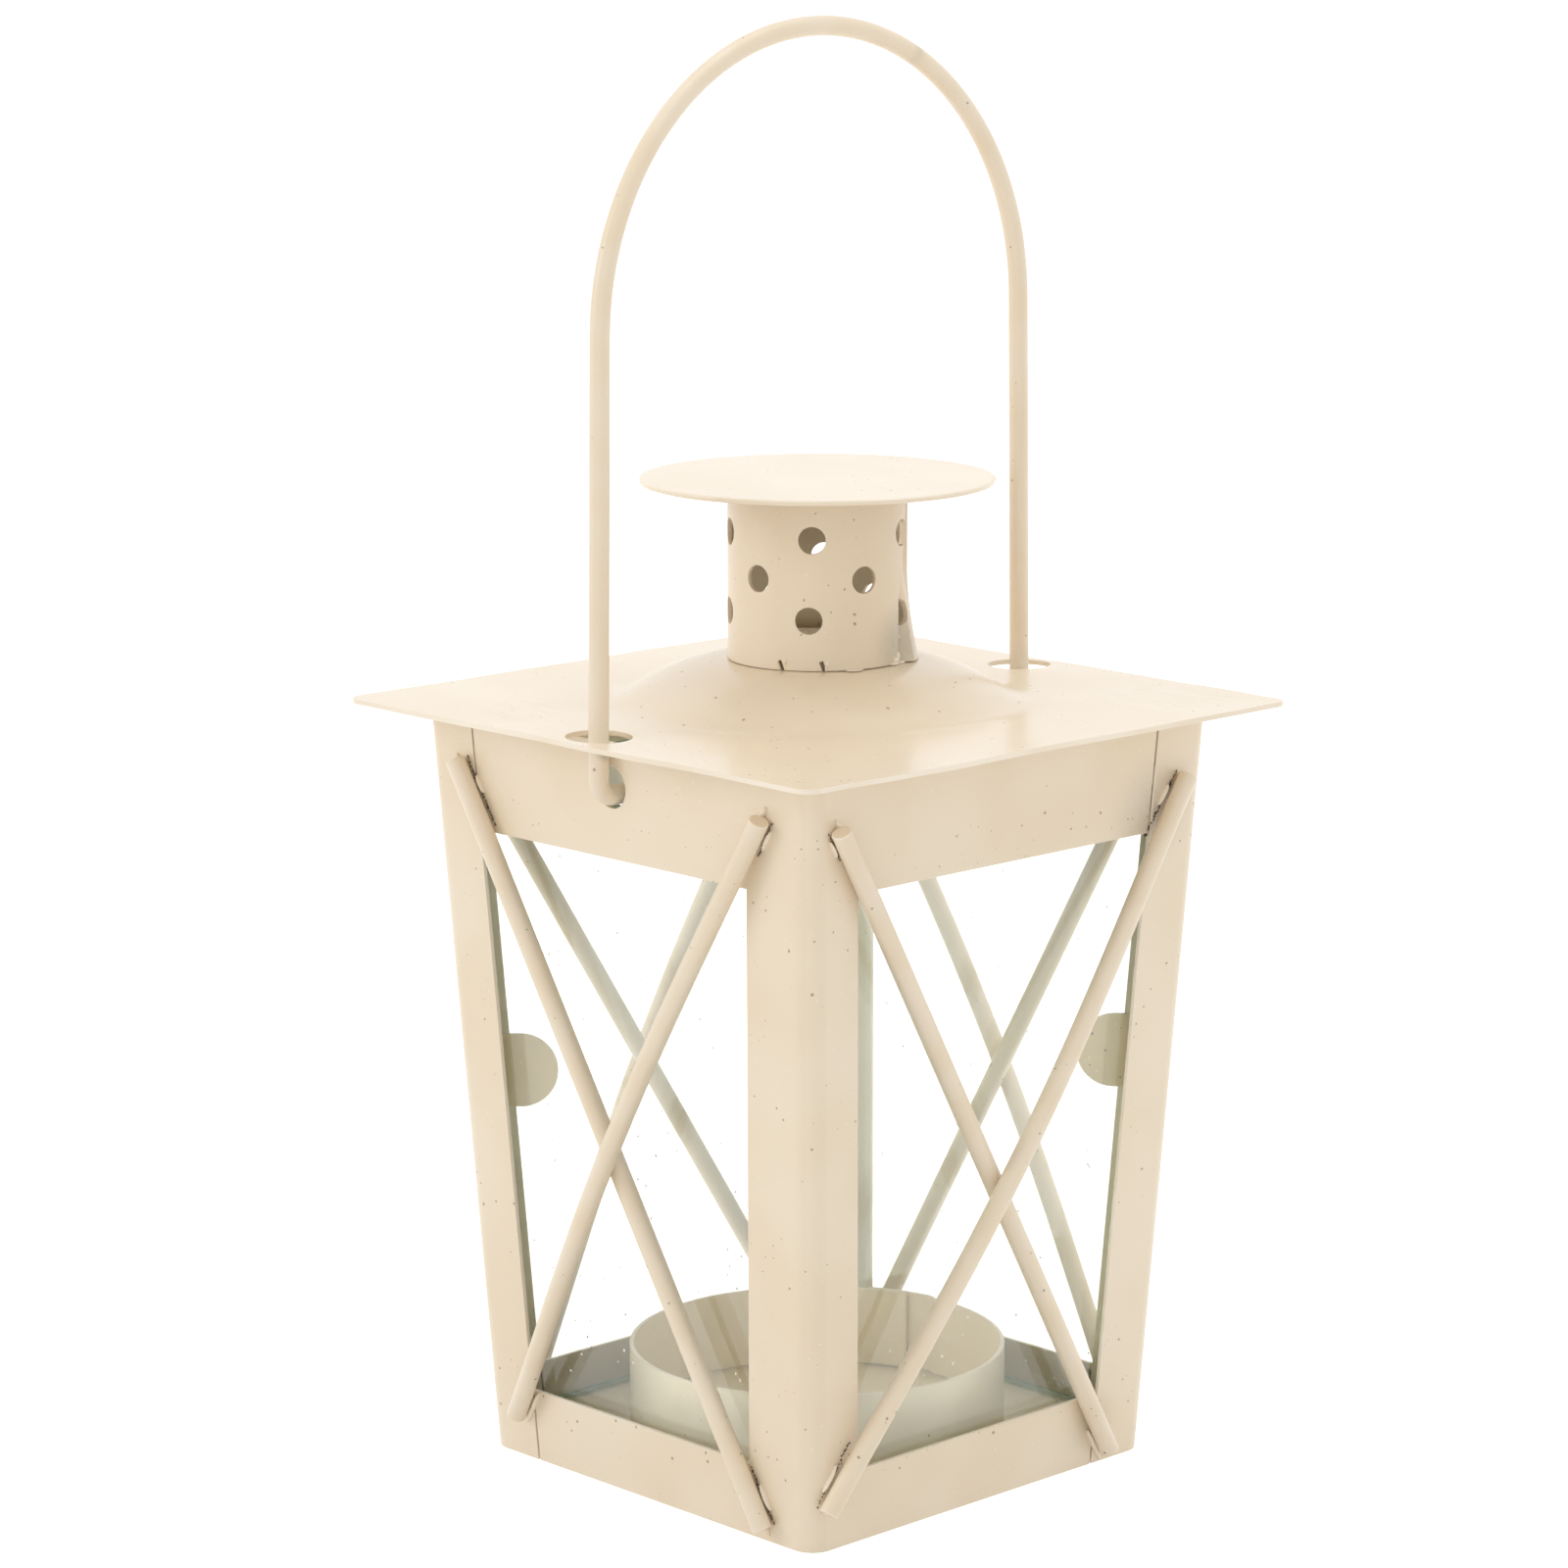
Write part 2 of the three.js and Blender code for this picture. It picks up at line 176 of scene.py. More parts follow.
def turned(piece, quarter_turns):
    """Turns a piece about the lantern's middle, in its mesh."""
    take(piece)
    piece.rotation_euler = (0, 0, quarter_turns * math.pi / 2)
    bpy.ops.object.transform_apply(location=True, rotation=True, scale=True)
    return piece


def hand_over(piece, body, slot, *nodes):
    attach(piece, body)
    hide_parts(*nodes)


def node(tree, kind, **values):
    """A shader node; names that are no setting of the node are inputs, with _ for a space."""
    made = tree.nodes.new(kind)
    for key, value in values.items():
        if key in made.bl_rna.properties:
            setattr(made, key, value)
        else:
            made.inputs[key.replace("_", " ")].default_value = value
    return made


def maths(tree, operation, a, b):
    made = node(tree, "ShaderNodeMath", operation=operation)
    for socket, value in zip(made.inputs, (a, b)):
        if isinstance(value, (int, float)):
            socket.default_value = value
        else:
            tree.links.new(value, socket)
    return made.outputs[0]


def ease(tree, value, start, end):
    """0 at start, 1 at end, smooth between them."""
    made = node(tree, "ShaderNodeMapRange", interpolation_type="SMOOTHSTEP", From_Min=start, From_Max=end)
    tree.links.new(value, made.inputs["Value"])
    return made.outputs["Result"]


def tint(tree, share, under, over):
    made = node(tree, "ShaderNodeMix", data_type="RGBA")
    for socket, value in ((made.inputs[0], share), (made.inputs[6], under), (made.inputs[7], over)):
        if isinstance(value, (int, float, tuple)):
            socket.default_value = value
        else:
            tree.links.new(value, socket)
    return made.outputs[2]


def effect(name, inputs, outputs):
    """An empty shader node group: inputs are (name, socket kind, value)."""
    group = bpy.data.node_groups.new(name, "ShaderNodeTree")
    for label, kind, value in inputs:
        socket = group.interface.new_socket(label, in_out="INPUT", socket_type="NodeSocket" + kind)
        if value is not None:
            socket.default_value = value
    for label in outputs:
        group.interface.new_socket(label, in_out="OUTPUT", socket_type="NodeSocketFloat")
    return group, group.nodes.new("NodeGroupInput").outputs, group.nodes.new("NodeGroupOutput").inputs


# Pinholes and nibs of a sprayed coat: one small ragged dot in some of the cells of a cell pattern.
dots, dots_in, dots_out = effect(
    "Coat dots",
    [("Vector", "Vector", None), ("Cells per metre", "Float", 300.0), ("Share", "Float", 0.2),
     ("Size", "Float", 0.08)],
    ["Mask"],
)
dot_cells = node(dots, "ShaderNodeTexVoronoi", feature="F1")
dot_pick = node(dots, "ShaderNodeSeparateColor")
dot_rag = node(dots, "ShaderNodeTexNoise", Scale=2600.0, Detail=1.0)
dots.links.new(dots_in["Vector"], dot_cells.inputs["Vector"])
dots.links.new(dots_in["Vector"], dot_rag.inputs["Vector"])
dots.links.new(dots_in["Cells per metre"], dot_cells.inputs["Scale"])
dots.links.new(dot_cells.outputs["Color"], dot_pick.inputs[0])
dot_chosen = maths(dots, "LESS_THAN", dot_pick.outputs[0], dots_in["Share"])
dot_spread = maths(dots, "POWER", dot_pick.outputs[1], 3.0)
dot_reach = maths(dots, "MULTIPLY", dots_in["Size"], maths(dots, "ADD", dot_spread, 0.45))
dot_reach = maths(dots, "MULTIPLY", dot_reach, maths(dots, "ADD", dot_rag.outputs["Fac"], 0.5))
dot_depth = maths(dots, "SUBTRACT", dot_reach, dot_cells.outputs["Distance"])
dots.links.new(maths(dots, "MULTIPLY", dot_chosen, ease(dots, dot_depth, -0.01, 0.02)), dots_out["Mask"])

# Orange peel and slow waves of a coat sprayed on thin sheet.
peel, peel_in, peel_out = effect(
    "Coat peel",
    [("Vector", "Vector", None), ("Peel per metre", "Float", 900.0), ("Waves per metre", "Float", 70.0),
     ("Wave share", "Float", 0.6)],
    ["Height", "Cloud"],
)
peel_fine = node(peel, "ShaderNodeTexNoise", Detail=3.0, Roughness=0.55)
peel_slow = node(peel, "ShaderNodeTexNoise", Detail=2.0, Roughness=0.4)
for texture, rate in ((peel_fine, "Peel per metre"), (peel_slow, "Waves per metre")):
    peel.links.new(peel_in["Vector"], texture.inputs["Vector"])
    peel.links.new(peel_in[rate], texture.inputs["Scale"])
peel_sum = maths(peel, "ADD", maths(peel, "MULTIPLY", peel_fine.outputs["Fac"], 0.12),
                 maths(peel, "MULTIPLY", peel_slow.outputs["Fac"], peel_in["Wave share"]))
peel.links.new(peel_sum, peel_out["Height"])
peel.links.new(peel_slow.outputs["Fac"], peel_out["Cloud"])

# A thin grey patch round one point, broken up by a fine grain; the one round the chimney's top paints the
# shade under the cap.
round_patch, round_patch_in, round_patch_out = effect(
    "Coat round patch", [("Vector", "Vector", None), ("Centre", "Vector", None), ("Reach", "Float", 0.01)], ["Mask"],
)
patch_far = node(round_patch, "ShaderNodeVectorMath", operation="DISTANCE")
patch_grain = node(round_patch, "ShaderNodeTexNoise", Scale=1500.0, Detail=2.0)
round_patch.links.new(round_patch_in["Vector"], patch_far.inputs[0])
round_patch.links.new(round_patch_in["Centre"], patch_far.inputs[1])
round_patch.links.new(round_patch_in["Vector"], patch_grain.inputs["Vector"])
patch_core = ease(round_patch, maths(round_patch, "DIVIDE", patch_far.outputs["Value"], round_patch_in["Reach"]), 1.0, 0.1)
patch_broken = maths(round_patch, "ADD", maths(round_patch, "MULTIPLY", patch_grain.outputs["Fac"], 0.5), 0.6)
round_patch.links.new(maths(round_patch, "MULTIPLY", patch_core, patch_broken), round_patch_out["Mask"])

cream = (0.83, 0.71, 0.545, 1.0)
cream_warm = (0.80, 0.67, 0.49, 1.0)
cream_thin_and_highlight = (0.90, 0.80, 0.65, 1.0)
pit_brown = (0.20, 0.145, 0.095, 1.0)
nib_white = (0.93, 0.87, 0.77, 1.0)
patch_grey = (0.36, 0.34, 0.27, 1.0)


def cream_coat(name, base=cream, warm=cream_warm, rough=0.38, pits=0.5, nibs=0.6, wave_rate=70.0,
               wave_share=0.6, grey_patches=(), gloss=0.1, scuffs=()):
    """Satin cream paint on steel.

    pits and nibs are shares of cells, waves are per metre; grey_patches are
    (centre, reach, strength), some of them painted shade, and scuffs are (centre, reach).
    """
    paint = bpy.data.materials.new(name)
    paint.use_nodes = True
    tree = paint.node_tree
    shader = tree.nodes["Principled BSDF"]
    shader.inputs["Metallic"].default_value = 0.0
    shader.inputs["Specular IOR Level"].default_value = 0.5
    shader.inputs["Coat Weight"].default_value = gloss
    shader.inputs["Coat Roughness"].default_value = 0.2
    where = node(tree, "ShaderNodeTexCoord").outputs["Object"]
    relief = node(tree, "ShaderNodeGroup", node_tree=peel, Peel_per_metre=900.0,
                  Waves_per_metre=wave_rate, Wave_share=wave_share)
    holes = node(tree, "ShaderNodeGroup", node_tree=dots, Cells_per_metre=900.0, Share=pits, Size=0.115)
    dust = node(tree, "ShaderNodeGroup", node_tree=dots, Cells_per_metre=1300.0, Share=nibs, Size=0.12)
    for made in (relief, holes, dust):
        tree.links.new(where, made.inputs["Vector"])
    colour = tint(tree, ease(tree, relief.outputs["Cloud"], 0.35, 0.7), base, warm)
    for centre, reach, strength in grey_patches:
        grey_patch = node(tree, "ShaderNodeGroup", node_tree=round_patch, Centre=centre, Reach=reach)
        tree.links.new(where, grey_patch.inputs["Vector"])
        colour = tint(tree, maths(tree, "MULTIPLY", grey_patch.outputs["Mask"], strength), colour, patch_grey)
    colour = tint(tree, maths(tree, "MULTIPLY", holes.outputs["Mask"], 0.62), colour, pit_brown)
    colour = tint(tree, maths(tree, "MULTIPLY", dust.outputs["Mask"], 0.6), colour, nib_white)
    sheen = node(tree, "ShaderNodeTexNoise", Scale=160.0, Detail=3.0)
    tree.links.new(where, sheen.inputs["Vector"])
    dull = maths(tree, "ADD", maths(tree, "MULTIPLY", sheen.outputs["Fac"], 0.12), rough - 0.06)
    dull = maths(tree, "ADD", dull, maths(tree, "MULTIPLY", holes.outputs["Mask"], 0.3))
    tree.links.new(dull, shader.inputs["Roughness"])
    height = maths(tree, "SUBTRACT", relief.outputs["Height"],
                   maths(tree, "MULTIPLY", holes.outputs["Mask"], 0.5))
    height = maths(tree, "ADD", height, maths(tree, "MULTIPLY", dust.outputs["Mask"], 0.25))
    for centre, reach in scuffs:
        patch = node(tree, "ShaderNodeGroup", node_tree=round_patch, Centre=centre, Reach=reach)
        slant = node(tree, "ShaderNodeMapping")
        slant.inputs["Rotation"].default_value = (0, 0, 0.9)
        slant.inputs["Scale"].default_value = (1.0, 5.0, 1.0)
        lines = node(tree, "ShaderNodeTexNoise", Scale=170.0, Detail=3.0, Distortion=0.8)
        tree.links.new(where, patch.inputs["Vector"])
        tree.links.new(where, slant.inputs["Vector"])
        tree.links.new(slant.outputs["Vector"], lines.inputs["Vector"])
        marks = ease(tree, lines.outputs["Fac"], 0.5, 0.62)
        scratched = maths(tree, "MULTIPLY", patch.outputs["Mask"], marks)
        height = maths(tree, "ADD", height, scratched)
        colour = tint(tree, maths(tree, "MULTIPLY", scratched, 0.25), colour, cream_warm)
    tree.links.new(colour, shader.inputs["Base Color"])
    bump = node(tree, "ShaderNodeBump", Strength=0.6, Distance=0.14 * mm)
    tree.links.new(height, bump.inputs["Height"])
    tree.links.new(bump.outputs["Normal"], shader.inputs["Normal"])
    return paint


def paint_with(piece, *materials):
    piece.data.materials.clear()
    for material in materials:
        piece.data.materials.append(material)


body_coat = cream_coat(
    "cream coat on the body",
    grey_patches=[((wall_top - 0.7 * mm, 21.5 * mm, 75 * mm), 8 * mm, 0.4),
           ((wall_foot, 17 * mm, 5 * mm), 5 * mm, 0.3),
           ((-21.5 * mm, -wall_top, 74 * mm), 3 * mm, 0.4)],
)
# Rounded edges take a lighter cream: thinner paint there, and a painted highlight.
edge_coat_and_highlight = cream_coat("thin cream coat and painted highlight on edges", base=cream_thin_and_highlight, warm=cream, pits=0.1, rough=0.32)
# The inside faces, tray and ring take a lighter copy of the cream coat: painted light.
inner_coat_lightened = cream_coat("cream coat inside, painted lighter", base=(0.93, 0.83, 0.65, 1.0), warm=(0.90, 0.79, 0.60, 1.0),
                        rough=0.34, pits=0.2, nibs=0.6, wave_rate=110.0)

# a tapered square tube with rounded folds
take(None)
bpy.ops.mesh.primitive_cube_add(size=1, location=(0, 0, body_height / 2),
                                scale=(2 * wall_top, 2 * wall_top, body_height))
tube = newly_made("body_tube")
edit(tube)
pick(tube, "FACE", lambda f: abs(f.normal.z) > 0.9)
bpy.ops.mesh.delete(type="FACE")
pick(tube, "VERT", lambda v: v.co.z < body_height / 2)
bpy.ops.transform.resize(value=(wall_foot / wall_top, wall_foot / wall_top, 1), center_override=(0, 0, 0))
pick(tube, "EDGE", lambda e: abs(e.verts[0].co.z - e.verts[1].co.z) > body_height / 2)
bpy.ops.mesh.bevel(offset=fold_radius, offset_type="OFFSET", segments=10, profile=0.5)

# lines for the bands, the windows and the seams, and then the openings come out
for height in (band_top, header_foot):
    bpy.ops.mesh.select_all(action="SELECT")
    bpy.ops.mesh.bisect(plane_co=(0, 0, height), plane_no=(0, 0, 1))
leg_widths = ((left_leg, front_leg_y), (front_leg_x, post_leg), (post_leg, post_leg), (post_leg, left_leg))
for quarter, legs in enumerate(leg_widths):
    turn = Matrix.Rotation(quarter * math.pi / 2, 3, "Z")
    for across, leg in zip((-1, 1), legs):
        seam_here = (across < 0) == (quarter % 2 == 0)
        for inset in (0, seam_gap) if seam_here else (0,):
            pick(tube, "FACE", lambda f: f.normal.dot(turn @ Vector((0, -1, 0))) > 0.98)
            bpy.ops.mesh.bisect(
                plane_co=turn @ Vector((across * (wall_foot - leg - inset), 0, 0)),
                plane_no=turn @ Vector((1, 0, -across * wall_lean)),
            )


def is_open(face):
    """Faces in a window, or in the slit between a side post and its neighbours' bands."""
    at = middle(face)
    for quarter, legs in enumerate(leg_widths):
        turn = Matrix.Rotation(-quarter * math.pi / 2, 3, "Z")
        if (turn @ face.normal).y < -0.98:
            along = (turn @ at).x
            reach = half_width(at.z) - legs[0 if along < 0 else 1]
            at_seam = (along < 0) == (quarter % 2 == 0)
            window = band_top < at.z < header_foot and abs(along) < reach
            return window or (at_seam and reach - seam_gap < abs(along) < reach)
    return False


pick(tube, "FACE", is_open)
bpy.ops.mesh.delete(type="FACE")
bpy.ops.object.mode_set(mode="OBJECT")


def sheet_of(at):
    """Which sheet a place on the tube belongs to."""
    if min(at.x, at.y) > half_width(at.z) - post_leg - seam_gap / 2:
        return "right_corner_post"
    if max(at.x, at.y) < -(half_width(at.z) - left_leg - seam_gap / 2):
        return "left_corner_post"
    return "front_corner_sheet" if at.x > at.y else "back_corner_sheet"


def round_bar(radius, length, centre, along, sides=48):
    take(None)
    turn = Vector((0, 0, 1)).rotation_difference(Vector(along)).to_euler()
    bpy.ops.mesh.primitive_cylinder_add(vertices=sides, radius=radius, depth=length, location=centre,
                                        rotation=turn)
    return newly_made("round_bar")


for name in ("front_corner_sheet", "back_corner_sheet", "left_corner_post", "right_corner_post"):
    sheet = copy_of(tube, "folded_" + name)
    edit(sheet)
    pick(sheet, "FACE", lambda f: sheet_of(middle(f)) != name)
    bpy.ops.mesh.delete(type="FACE")
    finish_edit(sheet)
    paint_with(sheet, body_coat, edge_coat_and_highlight, inner_coat_lightened)
    apply_modifier(sheet, "SOLIDIFY", thickness=sheet_thick, offset=-1, use_even_offset=True,
                   material_offset=2, material_offset_rim=1)
    if "sheet" in name:
        cut(sheet, round_bar(pivot_hole_radius, 100 * mm, (0, 0, pivot_hole_height), (0, 1, 0)))
    soften(sheet, edge_softness, slot=1)
    hand_over(sheet, "body", "painted_sheet", name)
bpy.data.objects.remove(tube)


def painted_gap_shade(name, dark, brown):
    """Dull near-black steel with brown blotches: painted shade for the gaps at seams and spot welds."""
    made = bpy.data.materials.new(name)
    made.use_nodes = True
    tree = made.node_tree
    shader = tree.nodes["Principled BSDF"]
    shader.inputs["Roughness"].default_value = 0.8
    where = node(tree, "ShaderNodeTexCoord").outputs["Object"]
    grain = node(tree, "ShaderNodeTexNoise", Scale=1800.0, Detail=2.0)
    tree.links.new(where, grain.inputs["Vector"])
    blotch = ease(tree, grain.outputs["Fac"], 0.4, 0.65)
    tree.links.new(tint(tree, blotch, dark, brown), shader.inputs["Base Color"])
    return made


gap_shade_material = painted_gap_shade("painted gap shade", (0.045, 0.037, 0.028, 1.0), (0.22, 0.15, 0.085, 1.0))


def against_side(piece):
    """Leans a piece drawn upright at y = 0 with the sides, onto the side that looks to -Y."""
    take(piece)
    piece.rotation_euler = (math.atan(wall_lean), 0, 0)
    piece.location = (0, -wall_foot, 0)
    bpy.ops.object.transform_apply(location=True, rotation=True, scale=True)
    return piece


# behind each seam a thin dark ragged strip paints the shade in the seam's gap
random.seed(3)
seam_rows = 60
strip_width = 0.6 * mm
strip_short = 1.2 * mm
strip_ragged = 0.3 * mm
for quarter, leg in enumerate((left_leg, post_leg, post_leg, left_leg)):
    side = -1 if quarter % 2 == 0 else 1
    take(None)
    bpy.ops.mesh.primitive_grid_add(x_subdivisions=1, y_subdivisions=seam_rows, size=1,
                                    location=(0, sheet_thick + 0.04 * mm, body_height / 2),
                                    rotation=(math.pi / 2, 0, 0))
    strip = newly_made(f"seam_shade_strip_{quarter}")
    edit(strip)
    bpy.ops.mesh.select_all(action="SELECT")
    bpy.ops.transform.resize(value=(strip_width, 1, body_height - strip_short),
                             center_override=(0, 0, body_height / 2))
    pick(strip, "FACE", lambda f: band_top - 0.3 * mm < middle(f).z < header_foot + 0.3 * mm)
    bpy.ops.mesh.delete(type="FACE")
    finish_edit(strip)
    for vertex in strip.data.vertices:
        vertex.co.x += side * (half_width(vertex.co.z) - leg - seam_gap / 2)
        vertex.co.y -= random.uniform(0.0, 1.0) * strip_ragged
    apply_modifier(strip, "SOLIDIFY", thickness=0.1 * mm, offset=0)
    paint_with(strip, gap_shade_material)
    against_side(strip)
    turned(strip, quarter)
    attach(strip, "body")


# ---------------------------------------------------------------------------
# Glass. Four panes of 2 mm float glass cut to the taper. They stand on the
# floor behind the sheets. Their ground edges are green, and fine paint dust
# has settled on them.
# ---------------------------------------------------------------------------
pane_thick = 2.0 * mm
pane_depth = sheet_thick + 0.35 * mm
pane_foot = 3.8 * mm
pane_top = 78.0 * mm
pane_edge = 3.6 * mm
dust_per_side = 150
dust_size = 0.15 * mm


def glass(name, base, transmission, rough):
    """Clear glass that lets the lamps through."""
    made = bpy.data.materials.new(name)
    made.use_nodes = True
    tree = made.node_tree
    shader = tree.nodes["Principled BSDF"]
    shader.inputs["Base Color"].default_value = base
    shader.inputs["Transmission Weight"].default_value = transmission
    shader.inputs["Metallic"].default_value = 0.0
    shader.inputs["IOR"].default_value = 1.5
    where = node(tree, "ShaderNodeTexCoord").outputs["Object"]
    film = node(tree, "ShaderNodeTexNoise", Scale=90.0, Detail=4.0)
    tree.links.new(where, film.inputs["Vector"])
    haze = maths(tree, "MULTIPLY", ease(tree, film.outputs["Fac"], 0.5, 0.8), 0.03)
    tree.links.new(maths(tree, "ADD", haze, rough), shader.inputs["Roughness"])
    clear = node(tree, "ShaderNodeBsdfTransparent", Color=(0.97, 0.99, 0.96, 1.0))
    path = node(tree, "ShaderNodeLightPath")
    mixer = node(tree, "ShaderNodeMixShader")
    tree.links.new(path.outputs["Is Shadow Ray"], mixer.inputs[0])
    tree.links.new(shader.outputs[0], mixer.inputs[1])
    tree.links.new(clear.outputs[0], mixer.inputs[2])
    tree.links.new(mixer.outputs[0], tree.nodes["Material Output"].inputs["Surface"])
    return made


float_glass = glass("float glass", (0.965, 0.978, 0.945, 1.0), 1.0, 0.0)
ground_edge = glass("ground glass edge", (0.30, 0.50, 0.35, 1.0), 0.45, 0.3)
dust_coat = cream_coat("paint dust", base=nib_white, warm=nib_white, pits=0.0, nibs=0.0)

pane_half_foot = half_width(pane_foot) - pane_edge
pane_half_top = half_width(pane_top) - pane_edge
take(None)
bpy.ops.mesh.primitive_cube_add(size=1, location=(0, pane_depth + pane_thick / 2, (pane_foot + pane_top) / 2),
                                scale=(2 * pane_half_top, pane_thick, pane_top - pane_foot))
pane = newly_made("pane")
edit(pane)
pick(pane, "VERT", lambda v: v.co.z < (pane_foot + pane_top) / 2)
bpy.ops.transform.resize(value=(pane_half_foot / pane_half_top, 1, 1), center_override=(0, 0, 0))
bpy.ops.object.mode_set(mode="OBJECT")
paint_with(pane, float_glass, ground_edge)
for face in pane.data.polygons:
    face.material_index = 0 if abs(face.normal.y) > 0.9 else 1
soften(pane, 0.12 * mm, slot=1)
against_side(pane)
for quarter in range(4):
    one = turned(copy_of(pane, f"window_pane_{quarter}"), quarter)
    hand_over(one, "body", "window_glass", f"glass_pane_{quarter}")
bpy.data.objects.remove(pane)

# paint dust on both faces of every pane, more of it low down
random.seed(41)
for quarter in range(4):
    take(None)
    bpy.ops.mesh.primitive_ico_sphere_add(subdivisions=1, radius=0.05 * mm,
                                          location=(0, pane_depth - 0.02 * mm, 40 * mm))
    specks = newly_made(f"paint_dust_{quarter}")
    edit(specks)
    for _ in range(dust_per_side):
        z = random.uniform(0.06, 0.94) ** 1.5 * 70 * mm + 6 * mm
        x = random.uniform(-1, 1) * (half_width(z) - post_leg)
        depth = random.choice((pane_depth, pane_depth, pane_depth + pane_thick))
        size = random.uniform(0.3, 1.0) ** 2 * dust_size
        bpy.ops.mesh.select_all(action="DESELECT")
        bpy.ops.mesh.primitive_ico_sphere_add(
            subdivisions=1, radius=size, location=(x, depth, z),
            rotation=(0, random.uniform(0, 3), 0), scale=(random.uniform(0.6, 1.8), 0.4, 1),
        )
    bpy.ops.object.mode_set(mode="OBJECT")
    paint_with(specks, dust_coat)
    against_side(specks)
    turned(specks, quarter)
    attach(specks, "body")


# ---------------------------------------------------------------------------
# Glass clips. Two flat lugs of the same sheet with round tips, spot-welded in
# the folds of the side posts. Each stands between the edges of two panes.
# ---------------------------------------------------------------------------
clip_width = 8.4 * mm
clip_tip = 28.3 * mm
clip_gap = 0.55 * mm
# The lugs take a darker, warmer copy of the cream coat: painted shade in the corners.
clip_coat_shaded = cream_coat("cream coat on the lugs, painted darker", base=(0.78, 0.65, 0.42, 1.0), warm=(0.73, 0.60, 0.37, 1.0),
                       rough=0.36, nibs=0.6, wave_rate=110.0)
for name, clip_height, diagonal in (
    ("glass_clip_left", 44.1 * mm, -0.75 * math.pi), ("glass_clip_right", 46.7 * mm, 0.25 * math.pi),
):
    clip_root = (half_width(clip_height) - fold_radius) * math.sqrt(2) + fold_radius - sheet_thick - clip_gap
    tip_middle = clip_tip + clip_width / 2
    take(None)
    bpy.ops.mesh.primitive_circle_add(vertices=56, radius=clip_width / 2, fill_type="NGON",
                                      location=(tip_middle, sheet_thick / 2, clip_height),
                                      rotation=(math.pi / 2, 0, 0))
    lug = newly_made("lug_" + name)
    edit(lug)
    pick(lug, "VERT", lambda v: v.co.x > tip_middle + 0.01 * mm)
    bpy.ops.transform.resize(value=(0, 1, 1), center_override=(clip_root, 0, 0))
    bpy.ops.mesh.select_all(action="SELECT")
    bpy.ops.mesh.extrude_region_move(TRANSFORM_OT_translate={"value": (0, -sheet_thick, 0)})
    finish_edit(lug)
    take(lug)
    lug.rotation_euler = (0, 0, diagonal)
    bpy.ops.object.transform_apply(location=True, rotation=True, scale=True)
    paint_with(lug, clip_coat_shaded, edge_coat_and_highlight)
    soften(lug, 0.08 * mm, slot=1)
    hand_over(lug, "body", "painted_sheet", name)


# ---------------------------------------------------------------------------
# Floor. A shallow tray pressed from sheet, its edges turned down and spot-
# welded inside the bottom bands.
# ---------------------------------------------------------------------------
floor_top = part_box("base_tray")[1].z
tray_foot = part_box("base_tray")[0].z
tray_inset = sheet_thick + 0.25 * mm
take(None)
bpy.ops.mesh.primitive_cube_add(
    size=1, location=(0, 0, (floor_top + tray_foot) / 2),
    scale=(2 * (half_width(floor_top) - tray_inset), 2 * (half_width(floor_top) - tray_inset),
           floor_top - tray_foot),
)
tray = newly_made("pressed_floor")
edit(tray)
pick(tray, "FACE", lambda f: f.normal.z < -0.9)
bpy.ops.mesh.delete(type="FACE")
pick(tray, "VERT", lambda v: v.co.z < floor_top - 1 * mm)
tray_taper = (half_width(tray_foot) - tray_inset) / (half_width(floor_top) - tray_inset)
bpy.ops.transform.resize(value=(tray_taper, tray_taper, 1), center_override=(0, 0, 0))
pick(tray, "EDGE", lambda e: abs(e.verts[0].co.z - e.verts[1].co.z) > 1 * mm)
bpy.ops.mesh.bevel(offset=fold_radius - tray_inset, segments=8, profile=0.5)
pick(tray, "EDGE", lambda e: min(v.co.z for v in e.verts) > floor_top - 0.01 * mm and not e.is_boundary)
bpy.ops.mesh.bevel(offset=0.6 * mm, segments=4, profile=0.5)
finish_edit(tray)
apply_modifier(tray, "SOLIDIFY", thickness=sheet_thick, offset=-1, use_even_offset=True)
paint_with(tray, inner_coat_lightened, edge_coat_and_highlight)
soften(tray, 0.08 * mm, slot=1)
hand_over(tray, "body", "painted_sheet", "base_tray")


# ---------------------------------------------------------------------------
# Candle ring. A strip of sheet rolled to take a 38 mm tealight and welded to
# the floor. Its ends lap over each other by a few millimetres.
# ---------------------------------------------------------------------------
ring_low, ring_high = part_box("candle_ring")
ring_radius = ring_high.x - sheet_thick
ring_lap_at = math.radians(107)
ring_lap = math.radians(14)
ring_step = math.radians(8)
lap_shift = 0.62 * mm
take(None)
bpy.ops.mesh.primitive_circle_add(
    vertices=3, radius=1 * mm, fill_type="NOTHING",
    location=(ring_radius * math.cos(ring_lap_at), ring_radius * math.sin(ring_lap_at), ring_low.z),
)
ring = newly_made("rolled_candle_ring")
edit(ring)
bpy.ops.mesh.select_all(action="SELECT")
bpy.ops.mesh.merge(type="CENTER")
bpy.ops.mesh.select_all(action="SELECT")
bpy.ops.mesh.extrude_vertices_move(TRANSFORM_OT_translate={"value": (0, 0, ring_high.z - ring_low.z)})
bpy.ops.mesh.select_all(action="SELECT")
bpy.ops.mesh.spin(steps=110, angle=ring_step - 2 * math.pi, center=(0, 0, 0), axis=(0, 0, 1))
bpy.ops.transform.translate(value=(lap_shift * math.cos(ring_lap_at), lap_shift * math.sin(ring_lap_at), 0))
bpy.ops.mesh.spin(steps=8, angle=-(ring_lap + ring_step), center=(0, 0, 0), axis=(0, 0, 1))
finish_edit(ring)
apply_modifier(ring, "SOLIDIFY", thickness=sheet_thick, offset=1, use_even_offset=True)
paint_with(ring, inner_coat_lightened, edge_coat_and_highlight)
soften(ring, 0.1 * mm, slot=1)
hand_over(ring, "body", "painted_sheet", "candle_ring")


